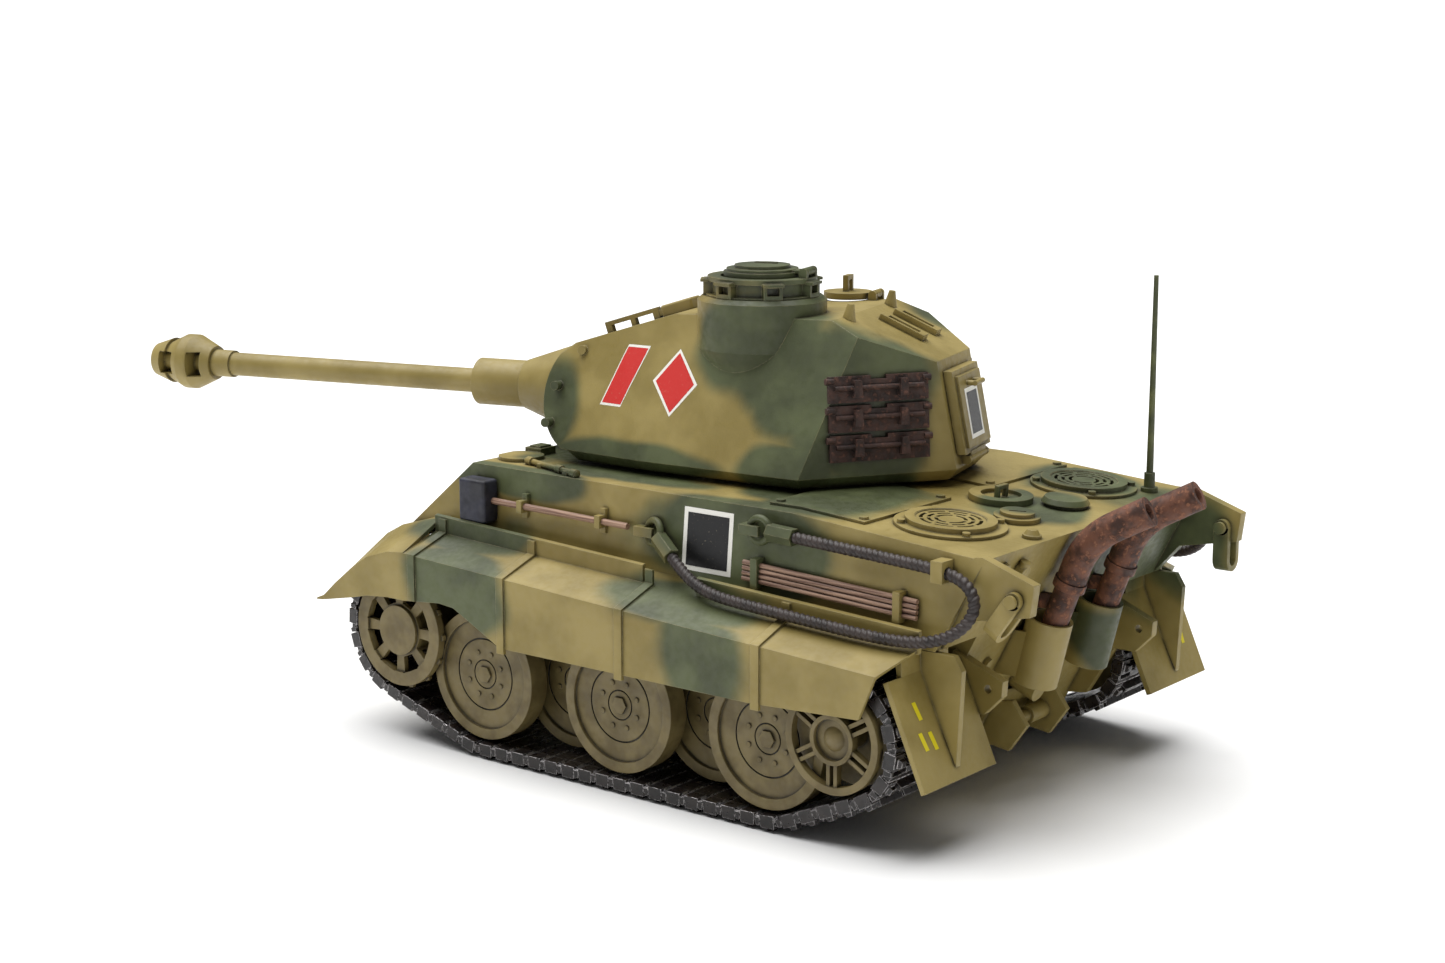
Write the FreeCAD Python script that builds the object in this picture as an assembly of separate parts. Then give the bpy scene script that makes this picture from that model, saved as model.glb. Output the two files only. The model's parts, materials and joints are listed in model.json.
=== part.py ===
import FreeCAD, Part
import math
import os

# A radio-controlled model tank, in millimetres.  +X forward, +Y left, +Z up.
# Shapes are drawn from the turret axis (x = 0) and moved at the end so that
# the origin lies on the ground under the middle of the whole length.

V = FreeCAD.Vector

# ---- driving dimensions -------------------------------------------------
MID_X = 30.04           # from the turret axis to the middle of the length
TURRET_YAW = 15.0       # degrees: the turret is stored turned to the left

TRACK_IN = 30.7         # inner edge of each track, from the centre plane
TRACK_OUT = 55.2
BELT = 4.0              # track thickness
LINK_PITCH = 6.0
LINK_GROOVE = 0.9
RUN_GAP = 0.3           # gap between moving parts
WHEEL_R = 14.1
WHEEL_Z = WHEEL_R + RUN_GAP + BELT
WHEEL_STEP = 37.9       # between the outer road wheels
SPROCKET = (61.1, 25.0)
SPROCKET_R = 12.4       # outer ring
TOOTH_R = 12.9
IDLER = (-55.2, 22.1)
IDLER_R = 10.8
AXLE_R = 1.5
SHAFT_CLEARANCE = 0.05
OUTER_WHEEL_FACE = 53.8
INNER_WHEEL_FACE = 46.0
RIM_FACE = 56.0         # outer face of sprocket and idler

HULL_HALF = 29.5        # lower hull, half width
FLOOR_Z = 7.0
WALL = 2.0
DECK_Z = 61.3
DECK_HALF = 42.0        # half width of the deck
DECK_BREAK = -35.0      # behind this the deck slopes down
DECK_REAR = (-80.0, 58.0)
GLACIS_TOP = 51.0
GLACIS_END = (70.3, 44.4)  # where the glacis meets the sponson floor
NOSE = (80.0, 36.0)
SIDE_LEAN = 0.095       # outward lean of the hull side, per mm of height
REAR_LEAN = 0.51        # undercut of the rear plate, per mm of height
SPONSON_REAR_Z = 39.4   # sponson floor at the rear plate

SHACKLE_PIN = (-87.0, 51.6)
SHACKLE_SWING = 35.0    # degrees forward of hanging, left side
PIN_R = 0.9

BEND_Y = 58.0           # outer face of the skirts
LIP_Y = 48.0
FENDER_IN = 42.5        # the shelf runs in to the hull side
SHEET = 0.8             # sheet thickness of fenders and flaps

CREASE_Z = 64.5         # widest level of the turret
TURRET_FLOOR = 62.1
RING_R = 16.3           # hole in the deck
GUN_Z = 74.6
TRUNNION_X = 38.5
GUN_BALL_R = 12.2
ELEVATION_CLEAR_R = 14.5
BARREL_R = 2.75
MUZZLE_X = 161.0
CUPOLA = (-0.5, 10.0)
LOADER = (-9.0, -19.0)
DOOR_HINGE_Z = 66.0
DOOR_HINGE_OUT = 1.3
HINGE_PIN_R = 0.4

ROPE_R = 1.2
CELL_Z = 15.6            # axis of the battery cells
GEAR_MODULE = 0.6
GEAR_TEETH = 24
PINION_TEETH = 12
RING_TEETH = 50         # turret ring gear
RING_PINION_TEETH = 10

NODES = {}


# ---- helpers ------------------------------------------------------------
def box(x0, x1, y0, y1, z0, z1):
    return Part.makeBox(x1 - x0, y1 - y0, z1 - z0, V(x0, y0, z0))


def rod(r, start, end):
    a, b = V(*start), V(*end)
    return Part.makeCylinder(r, (b - a).Length, a, b - a)


def tube(r_out, r_in, start, end):
    return rod(r_out, start, end).cut(rod(r_in, start, end))


def cone(r1, r2, start, end):
    a, b = V(*start), V(*end)
    return Part.makeCone(r1, r2, (b - a).Length, a, b - a)


def prism(points, direction):
    corners = [V(*p) for p in points]
    face = Part.Face(Part.makePolygon(corners + corners[:1]))
    return face.extrude(V(*direction))


def prism_y(points, y0, y1):
    return prism([(x, y0, z) for x, z in points], (0, y1 - y0, 0))


def prism_x(points, x0, x1):
    return prism([(x0, y, z) for y, z in points], (x1 - x0, 0, 0))


def prism_z(points, z0, z1):
    return prism([(x, y, z0) for x, y in points], (0, 0, z1 - z0))


def joined(shapes):
    shapes = list(shapes)
    whole = shapes[0].multiFuse(shapes[1:]) if len(shapes) > 1 else shapes[0]
    return whole.removeSplitter()


def less(shape, cutters):
    return shape.cut(Part.makeCompound(list(cutters)))


def mirrored(shape):
    return shape.mirror(V(0, 0, 0), V(0, 1, 0))


def both(shape):
    return [shape, mirrored(shape)]


def turned(shape, degrees, centre, axis):
    copy = shape.copy()
    copy.rotate(V(*centre), V(*axis), degrees)
    return copy


def ruled(sections):
    wires = []
    for section in sections:
        corners = [V(*p) for p in section]
        wires.append(Part.makePolygon(corners + corners[:1]))
    return Part.makeLoft(wires, True, True)


def add(name, *shapes):
    """Put the shapes' solids into the named node."""
    for shape in shapes:
        NODES.setdefault(name, []).extend(shape.Solids)


def on_turret(shape):
    return turned(shape, TURRET_YAW, (0, 0, 0), (0, 0, 1))


def deck_z(x):
    if x >= DECK_BREAK:
        return DECK_Z
    drop = (DECK_Z - DECK_REAR[1]) / (DECK_BREAK - DECK_REAR[0])
    return DECK_Z - (DECK_BREAK - x) * drop


def rear_x(z):
    return DECK_REAR[0] + (DECK_REAR[1] - z) * REAR_LEAN


def side_y(z):
    """Outer face of the hull side at height z."""
    return DECK_HALF + (DECK_Z - z) * SIDE_LEAN


def lip_z(x):
    """Foot of the fender lip."""
    return 43.6 + 0.047 * x


def bend_z(x):
    """Fold between fender slope and skirt."""
    return 40.2 + 0.05 * x


# ---- running gear -------------------------------------------------------
def belt_outline(grow):
    """Tight loop round the wheels, sprocket and idler, grown outwards."""
    circles = [(IDLER[0], IDLER[1], IDLER_R + RUN_GAP + grow),
               (-WHEEL_STEP, WHEEL_Z, WHEEL_R + RUN_GAP + grow),
               (WHEEL_STEP, WHEEL_Z, WHEEL_R + RUN_GAP + grow),
               (SPROCKET[0], SPROCKET[1], TOOTH_R + RUN_GAP + grow)]
    tangents = []
    count = len(circles)
    for i in range(count):
        xa, za, ra = circles[i]
        xb, zb, rb = circles[(i + 1) % count]
        along = math.atan2(zb - za, xb - xa)
        spread = math.acos((ra - rb) / math.hypot(xb - xa, zb - za))
        angle = along - spread
        tangents.append((angle, V(xa + ra * math.cos(angle), 0, za + ra * math.sin(angle)),
                         V(xb + rb * math.cos(angle), 0, zb + rb * math.sin(angle))))
    edges = []
    for i in range(count):
        angle_in, _, arrive = tangents[i - 1]
        angle_out, leave, _ = tangents[i]
        x, z, r = circles[i]
        if angle_out < angle_in:
            angle_out += 2 * math.pi
        middle = (angle_in + angle_out) / 2
        edges.append(Part.Arc(arrive, V(x + r * math.cos(middle), 0, z + r * math.sin(middle)),
                              leave).toShape())
        edges.append(Part.LineSegment(tangents[i][1], tangents[i][2]).toShape())
    return Part.Face(Part.Wire(edges))


def track():
    """One endless belt, scored across into links."""
    def band(grow, y0, y1):
        return belt_outline(grow).extrude(V(0, y1 - y0, 0)).translated(V(0, y0, 0))
    belt = band(BELT, TRACK_IN, TRACK_OUT).cut(band(0, TRACK_IN - 1, TRACK_OUT + 1))
    loop = belt_outline(BELT).OuterWire
    links = round(loop.Length / LINK_PITCH)
    points = loop.discretize(Number=2 * links + 1)
    grooves = []
    for i in range(0, 2 * links, 2):
        here, step = points[i], points[i + 1] - points[i - 1 if i else -2]
        groove = box(-0.7, 0.7, TRACK_IN - 1, TRACK_OUT + 1, -LINK_GROOVE, LINK_GROOVE)
        groove = turned(groove, -math.degrees(math.atan2(step.z, step.x)), (0, 0, 0), (0, 1, 0))
        grooves.append(groove.translated(here))
    return less(belt, grooves)


def wheel_profile(radius, face, thickness, hub_back):
    """Dished road wheel on its fixed axle, turned about Y."""
    back = face - thickness
    wheel = rod(radius, (0, back, 0), (0, face + 0.8, 0))
    dish = rod(radius - 2.2, (0, face, 0), (0, face + 2, 0))
    hollow = rod(radius - 2.4, (0, back - 1, 0), (0, face - 1.6, 0))
    hub = rod(3.4, (0, hub_back, 0), (0, face, 0))
    wheel = joined([less(wheel, [dish, hollow]), hub])
    ring_grooves = [tube(7.95, 7.6, (0, face - 0.35, 0), (0, face + 1, 0)),
                    tube(3.25, 2.95, (0, face - 0.35, 0), (0, face + 1, 0))]
    bore = rod(AXLE_R + SHAFT_CLEARANCE, (0, hub_back - 1, 0), (0, face - 0.9, 0))
    bolts = []
    for i in range(8):
        a = math.radians(45 * i + 22.5)
        bolts.append(rod(0.5, (4.9 * math.cos(a), face - 0.3, 4.9 * math.sin(a)),
                         (4.9 * math.cos(a), face + 0.3, 4.9 * math.sin(a))))
    nut = prism([(1.9 * math.cos(math.radians(60 * i)), face - 0.3, 1.9 * math.sin(math.radians(60 * i)))
                 for i in range(6)], (0, 0.8, 0))
    return less(joined([less(wheel, ring_grooves), nut] + bolts), [bore])


def sprocket():
    """Toothed outer and inner rings on a drum, with its shaft and spur gear."""
    ring_back = RIM_FACE - 1.8
    disc = rod(SPROCKET_R, (0, ring_back, 0), (0, RIM_FACE, 0))
    teeth = []
    for i in range(14):
        a = math.radians(360 / 14 * i)
        tooth = prism([(SPROCKET_R - 1.0, ring_back + 0.1, -1.1), (TOOTH_R, ring_back + 0.1, -0.5),
                       (TOOTH_R, ring_back + 0.1, 0.5), (SPROCKET_R - 1.0, ring_back + 0.1, 1.1)],
                      (0, 0.9, 0))
        teeth.append(turned(tooth, math.degrees(a), (0, 0, 0), (0, 1, 0)))
    windows = []
    for i in range(8):
        window = prism([(5.9, ring_back - 1, -1.35), (9.3, ring_back - 1, -2.5),
                        (9.3, ring_back - 1, 2.5), (5.9, ring_back - 1, 1.35)], (0, 4, 0))
        windows.append(turned(window, 45 * i + 22.5, (0, 0, 0), (0, 1, 0)))
    recess = tube(9.4, 5.5, (0, RIM_FACE - 0.6, 0), (0, RIM_FACE + 1, 0))
    face = less(joined([disc] + teeth), windows + [recess])
    cap = rod(5.5, (0, ring_back, 0), (0, RIM_FACE + 0.2, 0))
    drum = rod(5.6, (0, 32.0, 0), (0, ring_back, 0))
    inner = rod(SPROCKET_R, (0, 34.0, 0), (0, 35.6, 0))
    inner_teeth = [t.translated(V(0, 34.2 - ring_back, 0)) for t in teeth]
    wheel = joined([face, cap, drum, inner] + inner_teeth)
    bore = rod(AXLE_R, (0, 31, 0), (0, 50, 0))
    return less(wheel, [bore])


def idler():
    """Spoked idler: six double ribs between hub and rim, on a fixed axle."""
    back = RIM_FACE - 1.8
    rim = tube(IDLER_R, 9.3, (0, back, 0), (0, RIM_FACE, 0))
    hub = joined([tube(5.0, 4.1, (0, back, 0), (0, RIM_FACE, 0)),
                  rod(5.0, (0, back, 0), (0, RIM_FACE - 1.1, 0))])
    dome = Part.makeSphere(3.2, V(0, RIM_FACE - 3.2, 0)).common(
        rod(2.9, (0, RIM_FACE - 1.4, 0), (0, RIM_FACE + 1, 0)))
    ribs = []
    for i in range(6):
        for side in (-1.0, 1.0):
            rib = box(4.6, 9.8, back, RIM_FACE - 0.3, side * 0.85 - 0.4, side * 0.85 + 0.4)
            ribs.append(turned(rib, 60 * i + 30, (0, 0, 0), (0, 1, 0)))
    stem = rod(3.1, (0, 47.5, 0), (0, back, 0))
    drum = rod(IDLER_R, (0, 44.0, 0), (0, 48.0, 0))
    back_drum = rod(IDLER_R, (0, 36.0, 0), (0, 38.0, 0))
    spindle = rod(4.0, (0, 33.0, 0), (0, 47.0, 0))
    wheel = joined([rim, hub, dome, stem, drum, back_drum, spindle] + ribs)
    bore = rod(AXLE_R + SHAFT_CLEARANCE, (0, 30, 0), (0, RIM_FACE - 3.4, 0))
    return less(wheel, [bore])


def involute(base_r, roll):
    """Point of an involute of a circle, at the given roll angle."""
    return (base_r * (math.cos(roll) + roll * math.sin(roll)),
            base_r * (math.sin(roll) - roll * math.cos(roll)))


def gear(teeth, face_width, backlash=0.3):
    """Involute spur gear about Y, its first tooth along +X."""
    pitch_r = GEAR_MODULE * teeth / 2
    base_r = pitch_r * math.cos(math.radians(20))
    tip_r = pitch_r + 0.75 * GEAR_MODULE
    root_r = pitch_r - 1.15 * GEAR_MODULE
    roll_at_pitch = math.tan(math.radians(20))
    half_tooth = (math.pi * GEAR_MODULE / 2 - backlash) / 2 / pitch_r
    turn = half_tooth + roll_at_pitch - math.radians(20)
    last_roll = math.sqrt((tip_r / base_r) ** 2 - 1)
    flank = []
    for step in range(5):
        x, y = involute(base_r, last_roll * step / 4)
        r, a = math.hypot(x, y), turn - math.atan2(y, x)
        flank.append((r * math.cos(a), r * math.sin(a)))
    foot_r = root_r - 0.2
    foot_a = math.atan2(flank[0][1], flank[0][0])
    flank.insert(0, (foot_r * math.cos(foot_a), foot_r * math.sin(foot_a)))
    outline = [(x, 0, z) for x, z in flank] + [(x, 0, -z) for x, z in reversed(flank)]
    tooth = prism(outline, (0, face_width, 0))
    blades = [turned(tooth, 360 / teeth * i, (0, 0, 0), (0, 1, 0)) for i in range(teeth)]
    return joined([rod(root_r, (0, 0, 0), (0, face_width, 0))] + blades)


def axle(x, z, shoulder_end, tip):
    """Fixed stub axle: a thin journal on a thicker shoulder."""
    return joined([rod(2.4, (x, HULL_HALF - WALL, z), (x, shoulder_end, z)),
                   rod(AXLE_R, (x, HULL_HALF - WALL, z), (x, tip, z))])


def running_gear():
    outer = wheel_profile(WHEEL_R, OUTER_WHEEL_FACE - 0.8, 4.0, 46.7)
    inner = wheel_profile(WHEEL_R, INNER_WHEEL_FACE - 0.8, 3.8, 40.6)
    places = [(WHEEL_STEP, outer), (WHEEL_STEP / 2, inner), (0, outer),
              (-WHEEL_STEP / 2, inner), (-WHEEL_STEP, outer)]
    stubs = []
    for number, (x, wheel) in enumerate(places, 1):
        placed = wheel.translated(V(x, 0, WHEEL_Z))
        add(f"left_wheel_{number}", placed)
        add(f"right_wheel_{number}", mirrored(placed))
        stub_end = (46.5, 51.9) if wheel is outer else (40.4, 44.1)
        stubs.append(axle(x, WHEEL_Z, *stub_end))
    back = idler().translated(V(IDLER[0], 0, IDLER[1]))
    add("left_idler", back)
    add("right_idler", mirrored(back))
    stubs.append(axle(IDLER[0], IDLER[1], 32.8, 52.4))
    add("wheel_axles", *[half for stub in stubs for half in both(stub)])

    hub = sprocket()
    shaft = rod(AXLE_R, (0, 12.5, 0), (0, 50, 0))
    wheel_gear = gear(GEAR_TEETH, 3.0).translated(V(0, 17.0, 0))
    drive = joined([shaft, wheel_gear])
    for name, flip in (("left", False), ("right", True)):
        parts = [s.translated(V(SPROCKET[0], 0, SPROCKET[1])) for s in (hub, drive)]
        add(f"{name}_sprocket", *[mirrored(s) if flip else s for s in parts])
    belt = track()
    add("left_track", belt)
    add("right_track", mirrored(belt))


# ---- drive and electrics inside the hull --------------------------------
def gear_centre():
    return SPROCKET[0] - GEAR_MODULE * (GEAR_TEETH + PINION_TEETH) / 2


def drive_unit():
    x, z = gear_centre(), SPROCKET[1]
    pinion = turned(gear(PINION_TEETH, 3.0), 180 / PINION_TEETH, (0, 0, 0), (0, 1, 0))
    shaft = rod(0.75, (0, -7.5, 0), (0, 3.6, 0))
    pinion = joined([pinion, shaft]).translated(V(x, 17.0, z))
    add("left_pinion", pinion)
    add("right_pinion", mirrored(pinion))
    motor = joined([rod(5.5, (x, 1.5, z), (x, 14.8, z)), rod(2.0, (x, 14.8, z), (x, 15.6, z))])
    add("motors", *both(less(motor, [rod(0.80, (x, 9, z), (x, 17, z))])))
    plate = less(joined([box(43.0, 62.5, 14.8, 16.3, 14.0, 22.0), box(43.0, 65.0, 14.8, 16.3, 21.0, 33.5)]),
                 [rod(2.0, (x, 10, z), (x, 20, z)),
                  rod(AXLE_R + SHAFT_CLEARANCE, (SPROCKET[0], 10, z), (SPROCKET[0], 20, z))])
    base = box(43.0, 60.0, -16.3, 16.3, 12.0, 14.0)
    feet = [box(fx, fx + 4, y - 2, y + 2, FLOOR_Z + WALL, 12.0) for fx in (45, 55) for y in (-10, 10)]
    add("inner_brackets", joined([plate, mirrored(plate), base] + feet))


def turret_drive():
    """Upright motor hung under the deck, with the pinion of the ring gear."""
    x = -GEAR_MODULE * (RING_TEETH + RING_PINION_TEETH) / 2
    pinion = turned(gear(RING_PINION_TEETH, 2.6), 180 / RING_PINION_TEETH, (0, 0, 0), (0, 1, 0))
    pinion = joined([pinion, rod(0.75, (0, -0.6, 0), (0, 10, 0))])
    pinion = turned(pinion, -90, (0, 0, 0), (1, 0, 0)).translated(V(x, 0, 56.8))
    add("turret_pinion", pinion)
    motor = less(rod(5.5, (x, 0, 38.0), (x, 0, 51.0)), [rod(0.80, (x, 0, 45), (x, 0, 52))])
    add("motors", motor)
    plate = less(box(x - 9, x + 7, -7, 7, 51.0, 52.4), [rod(1.2, (x, 0, 50), (x, 0, 53))])
    legs = [box(x - 9, x - 7, y - 2, y + 2, 52.4, DECK_Z - 1.8) for y in (-5, 5)]
    add("inner_brackets", joined([plate] + legs))


def electrics():
    cells = []
    for y in (-11, 0, 11):
        cells.append(joined([rod(5.25, (-28, y, CELL_Z), (15.5, y, CELL_Z)),
                             rod(1.9, (15.5, y, CELL_Z), (16.5, y, CELL_Z))]))
    add("battery_pack", *cells)
    board = box(-22, 16, -15, 15, 26.0, 27.2)
    tabs = [box(x - 2, x + 2, -24, 24, 26.0, 27.2) for x in (-20, 14)]
    chips = [box(-14, -6, -5, 3, 27.2, 28.6), box(0, 6, -10, -4, 27.2, 28.4),
             box(-4, 4, 6, 12, 27.2, 30.0)]
    add("receiver_board", joined([board] + tabs + chips))
    slider = joined([box(-46.5, -41.5, -2.2, 2.2, 8.0, 9.6), box(-45.0, -43.0, -1.3, 1.3, 6.2, 8.0)])
    add("power_switch", slider)
    housing = less(box(-48.5, -36.0, -4.0, 4.0, FLOOR_Z + WALL, 13.0),
                   [box(-47.5, -37.0, -2.6, 2.6, 8.0, 9.9)])
    add("inner_brackets", housing)


def board_posts():
    return [rod(1.2, (x, y, FLOOR_Z + WALL - 0.5), (x, y, 26.0)) for x in (-20, 14) for y in (-22, 22)]


# ---- hull ---------------------------------------------------------------
def sponson_z(x):
    """Level of the sponson floor, where the two halves of the hull meet."""
    rear = rear_x(SPONSON_REAR_Z)
    rise = (GLACIS_END[1] - SPONSON_REAR_Z) / (GLACIS_END[0] - rear)
    return SPONSON_REAR_Z + (x - rear) * rise


def tub_outline(inset):
    floor = FLOOR_Z + inset
    top = 46.0
    glacis = (NOSE[0] - GLACIS_END[0]) / (GLACIS_END[1] - NOSE[1])
    return [(rear_x(floor) + inset * 1.1, floor), (62.0 - inset * 0.5, floor),
            (NOSE[0] - inset * 1.3, NOSE[1] - inset * 0.3),
            (NOSE[0] - (top - NOSE[1]) * glacis - inset * 1.3, top - inset * 0.3),
            (rear_x(top) + inset * 1.1, top)]


def screw(x, y):
    """Cross-headed screw in the underside."""
    z = FLOOR_Z
    head = less(rod(1.5, (x, y, z - 0.6), (x, y, z)),
                [box(x - 1, x + 1, y - 0.2, y + 0.2, z - 1, z - 0.3),
                 box(x - 0.2, x + 0.2, y - 1, y + 1, z - 1, z - 0.3)])
    return joined([head, rod(0.8, (x, y, z), (x, y, z + 1.9))])


def lower_hull():
    tub = prism_y(tub_outline(0), -HULL_HALF, HULL_HALF)
    inside = prism_y(tub_outline(WALL), -HULL_HALF + WALL, HULL_HALF - WALL)
    above = prism_y([(-90, sponson_z(-90)), (90, sponson_z(90)), (90, 70), (-90, 70)], -50, 50)
    inside_top = box(-70, 68, -HULL_HALF + WALL, HULL_HALF - WALL, 38, 50)
    inside_top = inside_top.common(prism_y(tub_outline(WALL)[:3] + [(60, 60), (-74, 60)], -50, 50))
    lug = [(-66.0, 36.3), (-77.3, 31.7), (-77.1, 28.6), (-73.2, 24.6), (-68.3, 24.6),
           (-61.8, 13.7), (-56.3, 13.0)]
    lugs = less(prism_y(lug, 28.6, 30.6), [rod(0.85, (-74.0, 20, 29.8), (-74.0, 40, 29.8))])
    shell = joined([less(tub, [inside, inside_top, above])] + both(lugs) + board_posts())
    bores = [(SPROCKET[0], SPROCKET[1], AXLE_R + RUN_GAP), (IDLER[0], IDLER[1], 2.4)]
    bores += [(k * WHEEL_STEP / 2, WHEEL_Z, 2.4) for k in range(-2, 3)]
    cuts = [half for x, z, r in bores for half in both(rod(r, (x, 27, z), (x, 31, z)))]
    cuts += [box(-34, 22, -19, 19, FLOOR_Z - 1, FLOOR_Z + 1.2),
             box(-32, 20, -17, 17, FLOOR_Z - 1, FLOOR_Z + WALL + 1),
             box(-45.2, -39.8, -1.6, 1.6, FLOOR_Z - 1, FLOOR_Z + WALL + 1),
             box(-47.5, -37.0, -2.6, 2.6, 8.0 - RUN_GAP, FLOOR_Z + WALL + 1)]
    screws = [(-32.9, 0), (20.9, 0), (38, 22), (38, -22), (-49, 22), (-49, -22)]
    seats = [rod(0.8, (x, y, FLOOR_Z - 1), (x, y, FLOOR_Z + 3)) for x, y in screws]
    add("lower_hull", less(shell, cuts + seats))
    saddles = [box(x, x + 2, -16.5, 16.5, FLOOR_Z + 1.1, FLOOR_Z + 5) for x in (-26, 12)]
    door = joined([box(-33.8, 21.8, -18.8, 18.8, FLOOR_Z, FLOOR_Z + 1.2)] + saddles)
    add("battery_door", less(door, seats + NODES["battery_pack"]))
    add("hull_screws", *[screw(x, y) for x, y in screws])


def upper_block(inset):
    """Superstructure: the side profile held between two leaning side planes."""
    drop = inset * 1.4
    front = (GLACIS_END[0] - drop, GLACIS_END[1])
    rear = rear_x(SPONSON_REAR_Z)
    profile = [(DECK_REAR[0] + drop, DECK_REAR[1] - inset), (DECK_BREAK, DECK_Z - inset),
               (GLACIS_TOP - inset * 0.45, DECK_Z - inset), (front[0] - inset, sponson_z(front[0]) + inset),
               (rear + inset * 0.7, SPONSON_REAR_Z + inset)]
    low, high = 30.0, 70.0
    walls = prism_x([(-side_y(low) + inset, low), (side_y(low) - inset, low),
                     (side_y(high) - inset, high), (-side_y(high) + inset, high)], -100, 100)
    return prism_y(profile, -60, 60).common(walls)


def upper_hull():
    well = box(-66, 64, -HULL_HALF + WALL, HULL_HALF - WALL, 35, 48)
    well = well.common(prism_y([(rear_x(35) + 2, 35), (64, 35), (64, 48), (rear_x(48) + 2, 48)], -40, 40))
    shell = less(upper_block(0), [upper_block(1.8), well])
    tip = [(-78.0, 58.4), (DECK_REAR[0] + 0.5, 58.6), (-90.8, 54.8), (-90.0, 48.7),
           (-76.7, 46.0), (-71.0, 39.6), (-70.0, 52.0)]
    x, z = SHACKLE_PIN
    tips = less(prism_y(tip, 40.2, 42.4), [rod(PIN_R, (x, 30, z), (x, 50, z))])
    cuts = [rod(RING_R, (0, 0, 50), (0, 0, 70))]
    for i in range(3):
        notch = box(RING_R - 1, RING_R + 2.8, -3.4, 3.4, 50, 70)
        cuts.append(turned(notch, 120 * i + 75, (0, 0, 0), (0, 0, 1)))
    cuts += [rod(7.0, (-61.5, y, 50), (-61.5, y, 70)) for y in (-25.5, 25.5)]
    add("upper_hull", less(joined([shell] + both(tips)), cuts))


def fender_side():
    """Closed outline, in x and z, of everything the skirt and slope cover."""
    low = 26.6
    return [(57.0, 60.0), (57.0, 32.6), (46.4, 33.6), (42.2, 33.2), (35.7, 30.0), (28.8, low),
            (-37.0, low), (-62.8, 27.9), (-66.4, 36.6), (-72.5, 45.0), (-72.5, 60.0)]


def fender():
    """Left fender: sloped shelf, upright lip, skirt, straps and mudguard."""
    def section(x, y_in, top_in, edge):
        inner = BEND_Y - SHEET
        return [(x, y_in, top_in), (x, BEND_Y, edge), (x, BEND_Y, 20.0), (x, inner, 20.0),
                (x, inner, edge - 0.75), (x, y_in, top_in - SHEET)]
    front, rear = 57.0, -73.0
    slope = []
    for x in (front, rear):
        rise = (lip_z(x) - bend_z(x)) / (BEND_Y - LIP_Y)
        slope.append(section(x, FENDER_IN, bend_z(x) + rise * (BEND_Y - FENDER_IN), bend_z(x)))
    cover = ruled(slope).common(prism_y(fender_side(), 0, 70))
    lips = []
    for x0, x1 in ((-2.0, 57.0), (-69.5, -16.0)):
        lips.append(ruled([[(x, LIP_Y - 0.9, lip_z(x) - 0.6), (x, LIP_Y, lip_z(x) - 0.8),
                            (x, LIP_Y, lip_z(x) + 3.6), (x, LIP_Y - 0.9, lip_z(x) + 3.8)]
                           for x in (x0, x1)]))
    straps = []
    for x in (54.3, 28.3, -4.1, -38.7):
        low = 33.0 if x > 50 else 25.6
        straps.append(ruled([[(at, LIP_Y, lip_z(at) - 0.3), (at, LIP_Y, lip_z(at) + 3.2),
                              (at, LIP_Y + 0.6, lip_z(at) + 3.2), (at, LIP_Y + 0.6, lip_z(at) + 0.4),
                              (at, BEND_Y + 0.5, bend_z(at) + 0.3), (at, BEND_Y + 0.5, low),
                              (at, BEND_Y - 0.3, low), (at, BEND_Y - 0.3, bend_z(at) - 0.5)]
                             for at in (x - 1.0, x + 1.0)]))
    guard = []
    stations = [(57.0, 48.9, 43.2, 32.6), (62.0, 47.9, 42.7, 32.6), (68.5, 46.0, 40.6, 32.0),
                (73.5, 43.4, 37.3, 30.8), (78.5, 38.7, 33.4, 29.8), (82.5, 32.8, 29.9, 29.0),
                (84.5, 29.9, 29.2, 28.8)]
    for start, end, y_in in ((0, 2, FENDER_IN), (2, 6, TRACK_IN - 0.3)):
        rows = []
        for x, crest, edge, low in stations[start:end + 1]:
            rows.append([(x, y_in, crest), (x, 46.5, crest), (x, BEND_Y, edge), (x, BEND_Y, low),
                         (x, BEND_Y - SHEET, low - 0.05), (x, BEND_Y - SHEET, edge - 0.5),
                         (x, 46.0, crest - SHEET), (x, y_in, crest - SHEET)])
        guard.append(ruled(rows))
    return joined([cover] + lips + straps + guard)


def fenders():
    left = fender()
    add("left_fender", left)
    add("right_fender", mirrored(left))


def deck_slab():
    """Left raised access plate, lying on the deck's break."""
    level = box(DECK_BREAK, -27.0, 7.6, 38.2, DECK_Z, DECK_Z + 0.6)
    rear_drop = deck_z(-50.0)
    slope = prism_y([(DECK_BREAK, DECK_Z), (DECK_BREAK, DECK_Z + 0.6), (-50.0, rear_drop + 0.6),
                     (-50.0, rear_drop)], 7.6, 38.2)
    bolts = []
    for x, y in ((-28.6, 36.6), (-48.6, 36.4), (-48.6, 9.4)):
        bolts.append(rod(0.95, (x, y, deck_z(x) + 0.2), (x, y, deck_z(x) + 1.1)))
    return joined([level, slope] + bolts)


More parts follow.
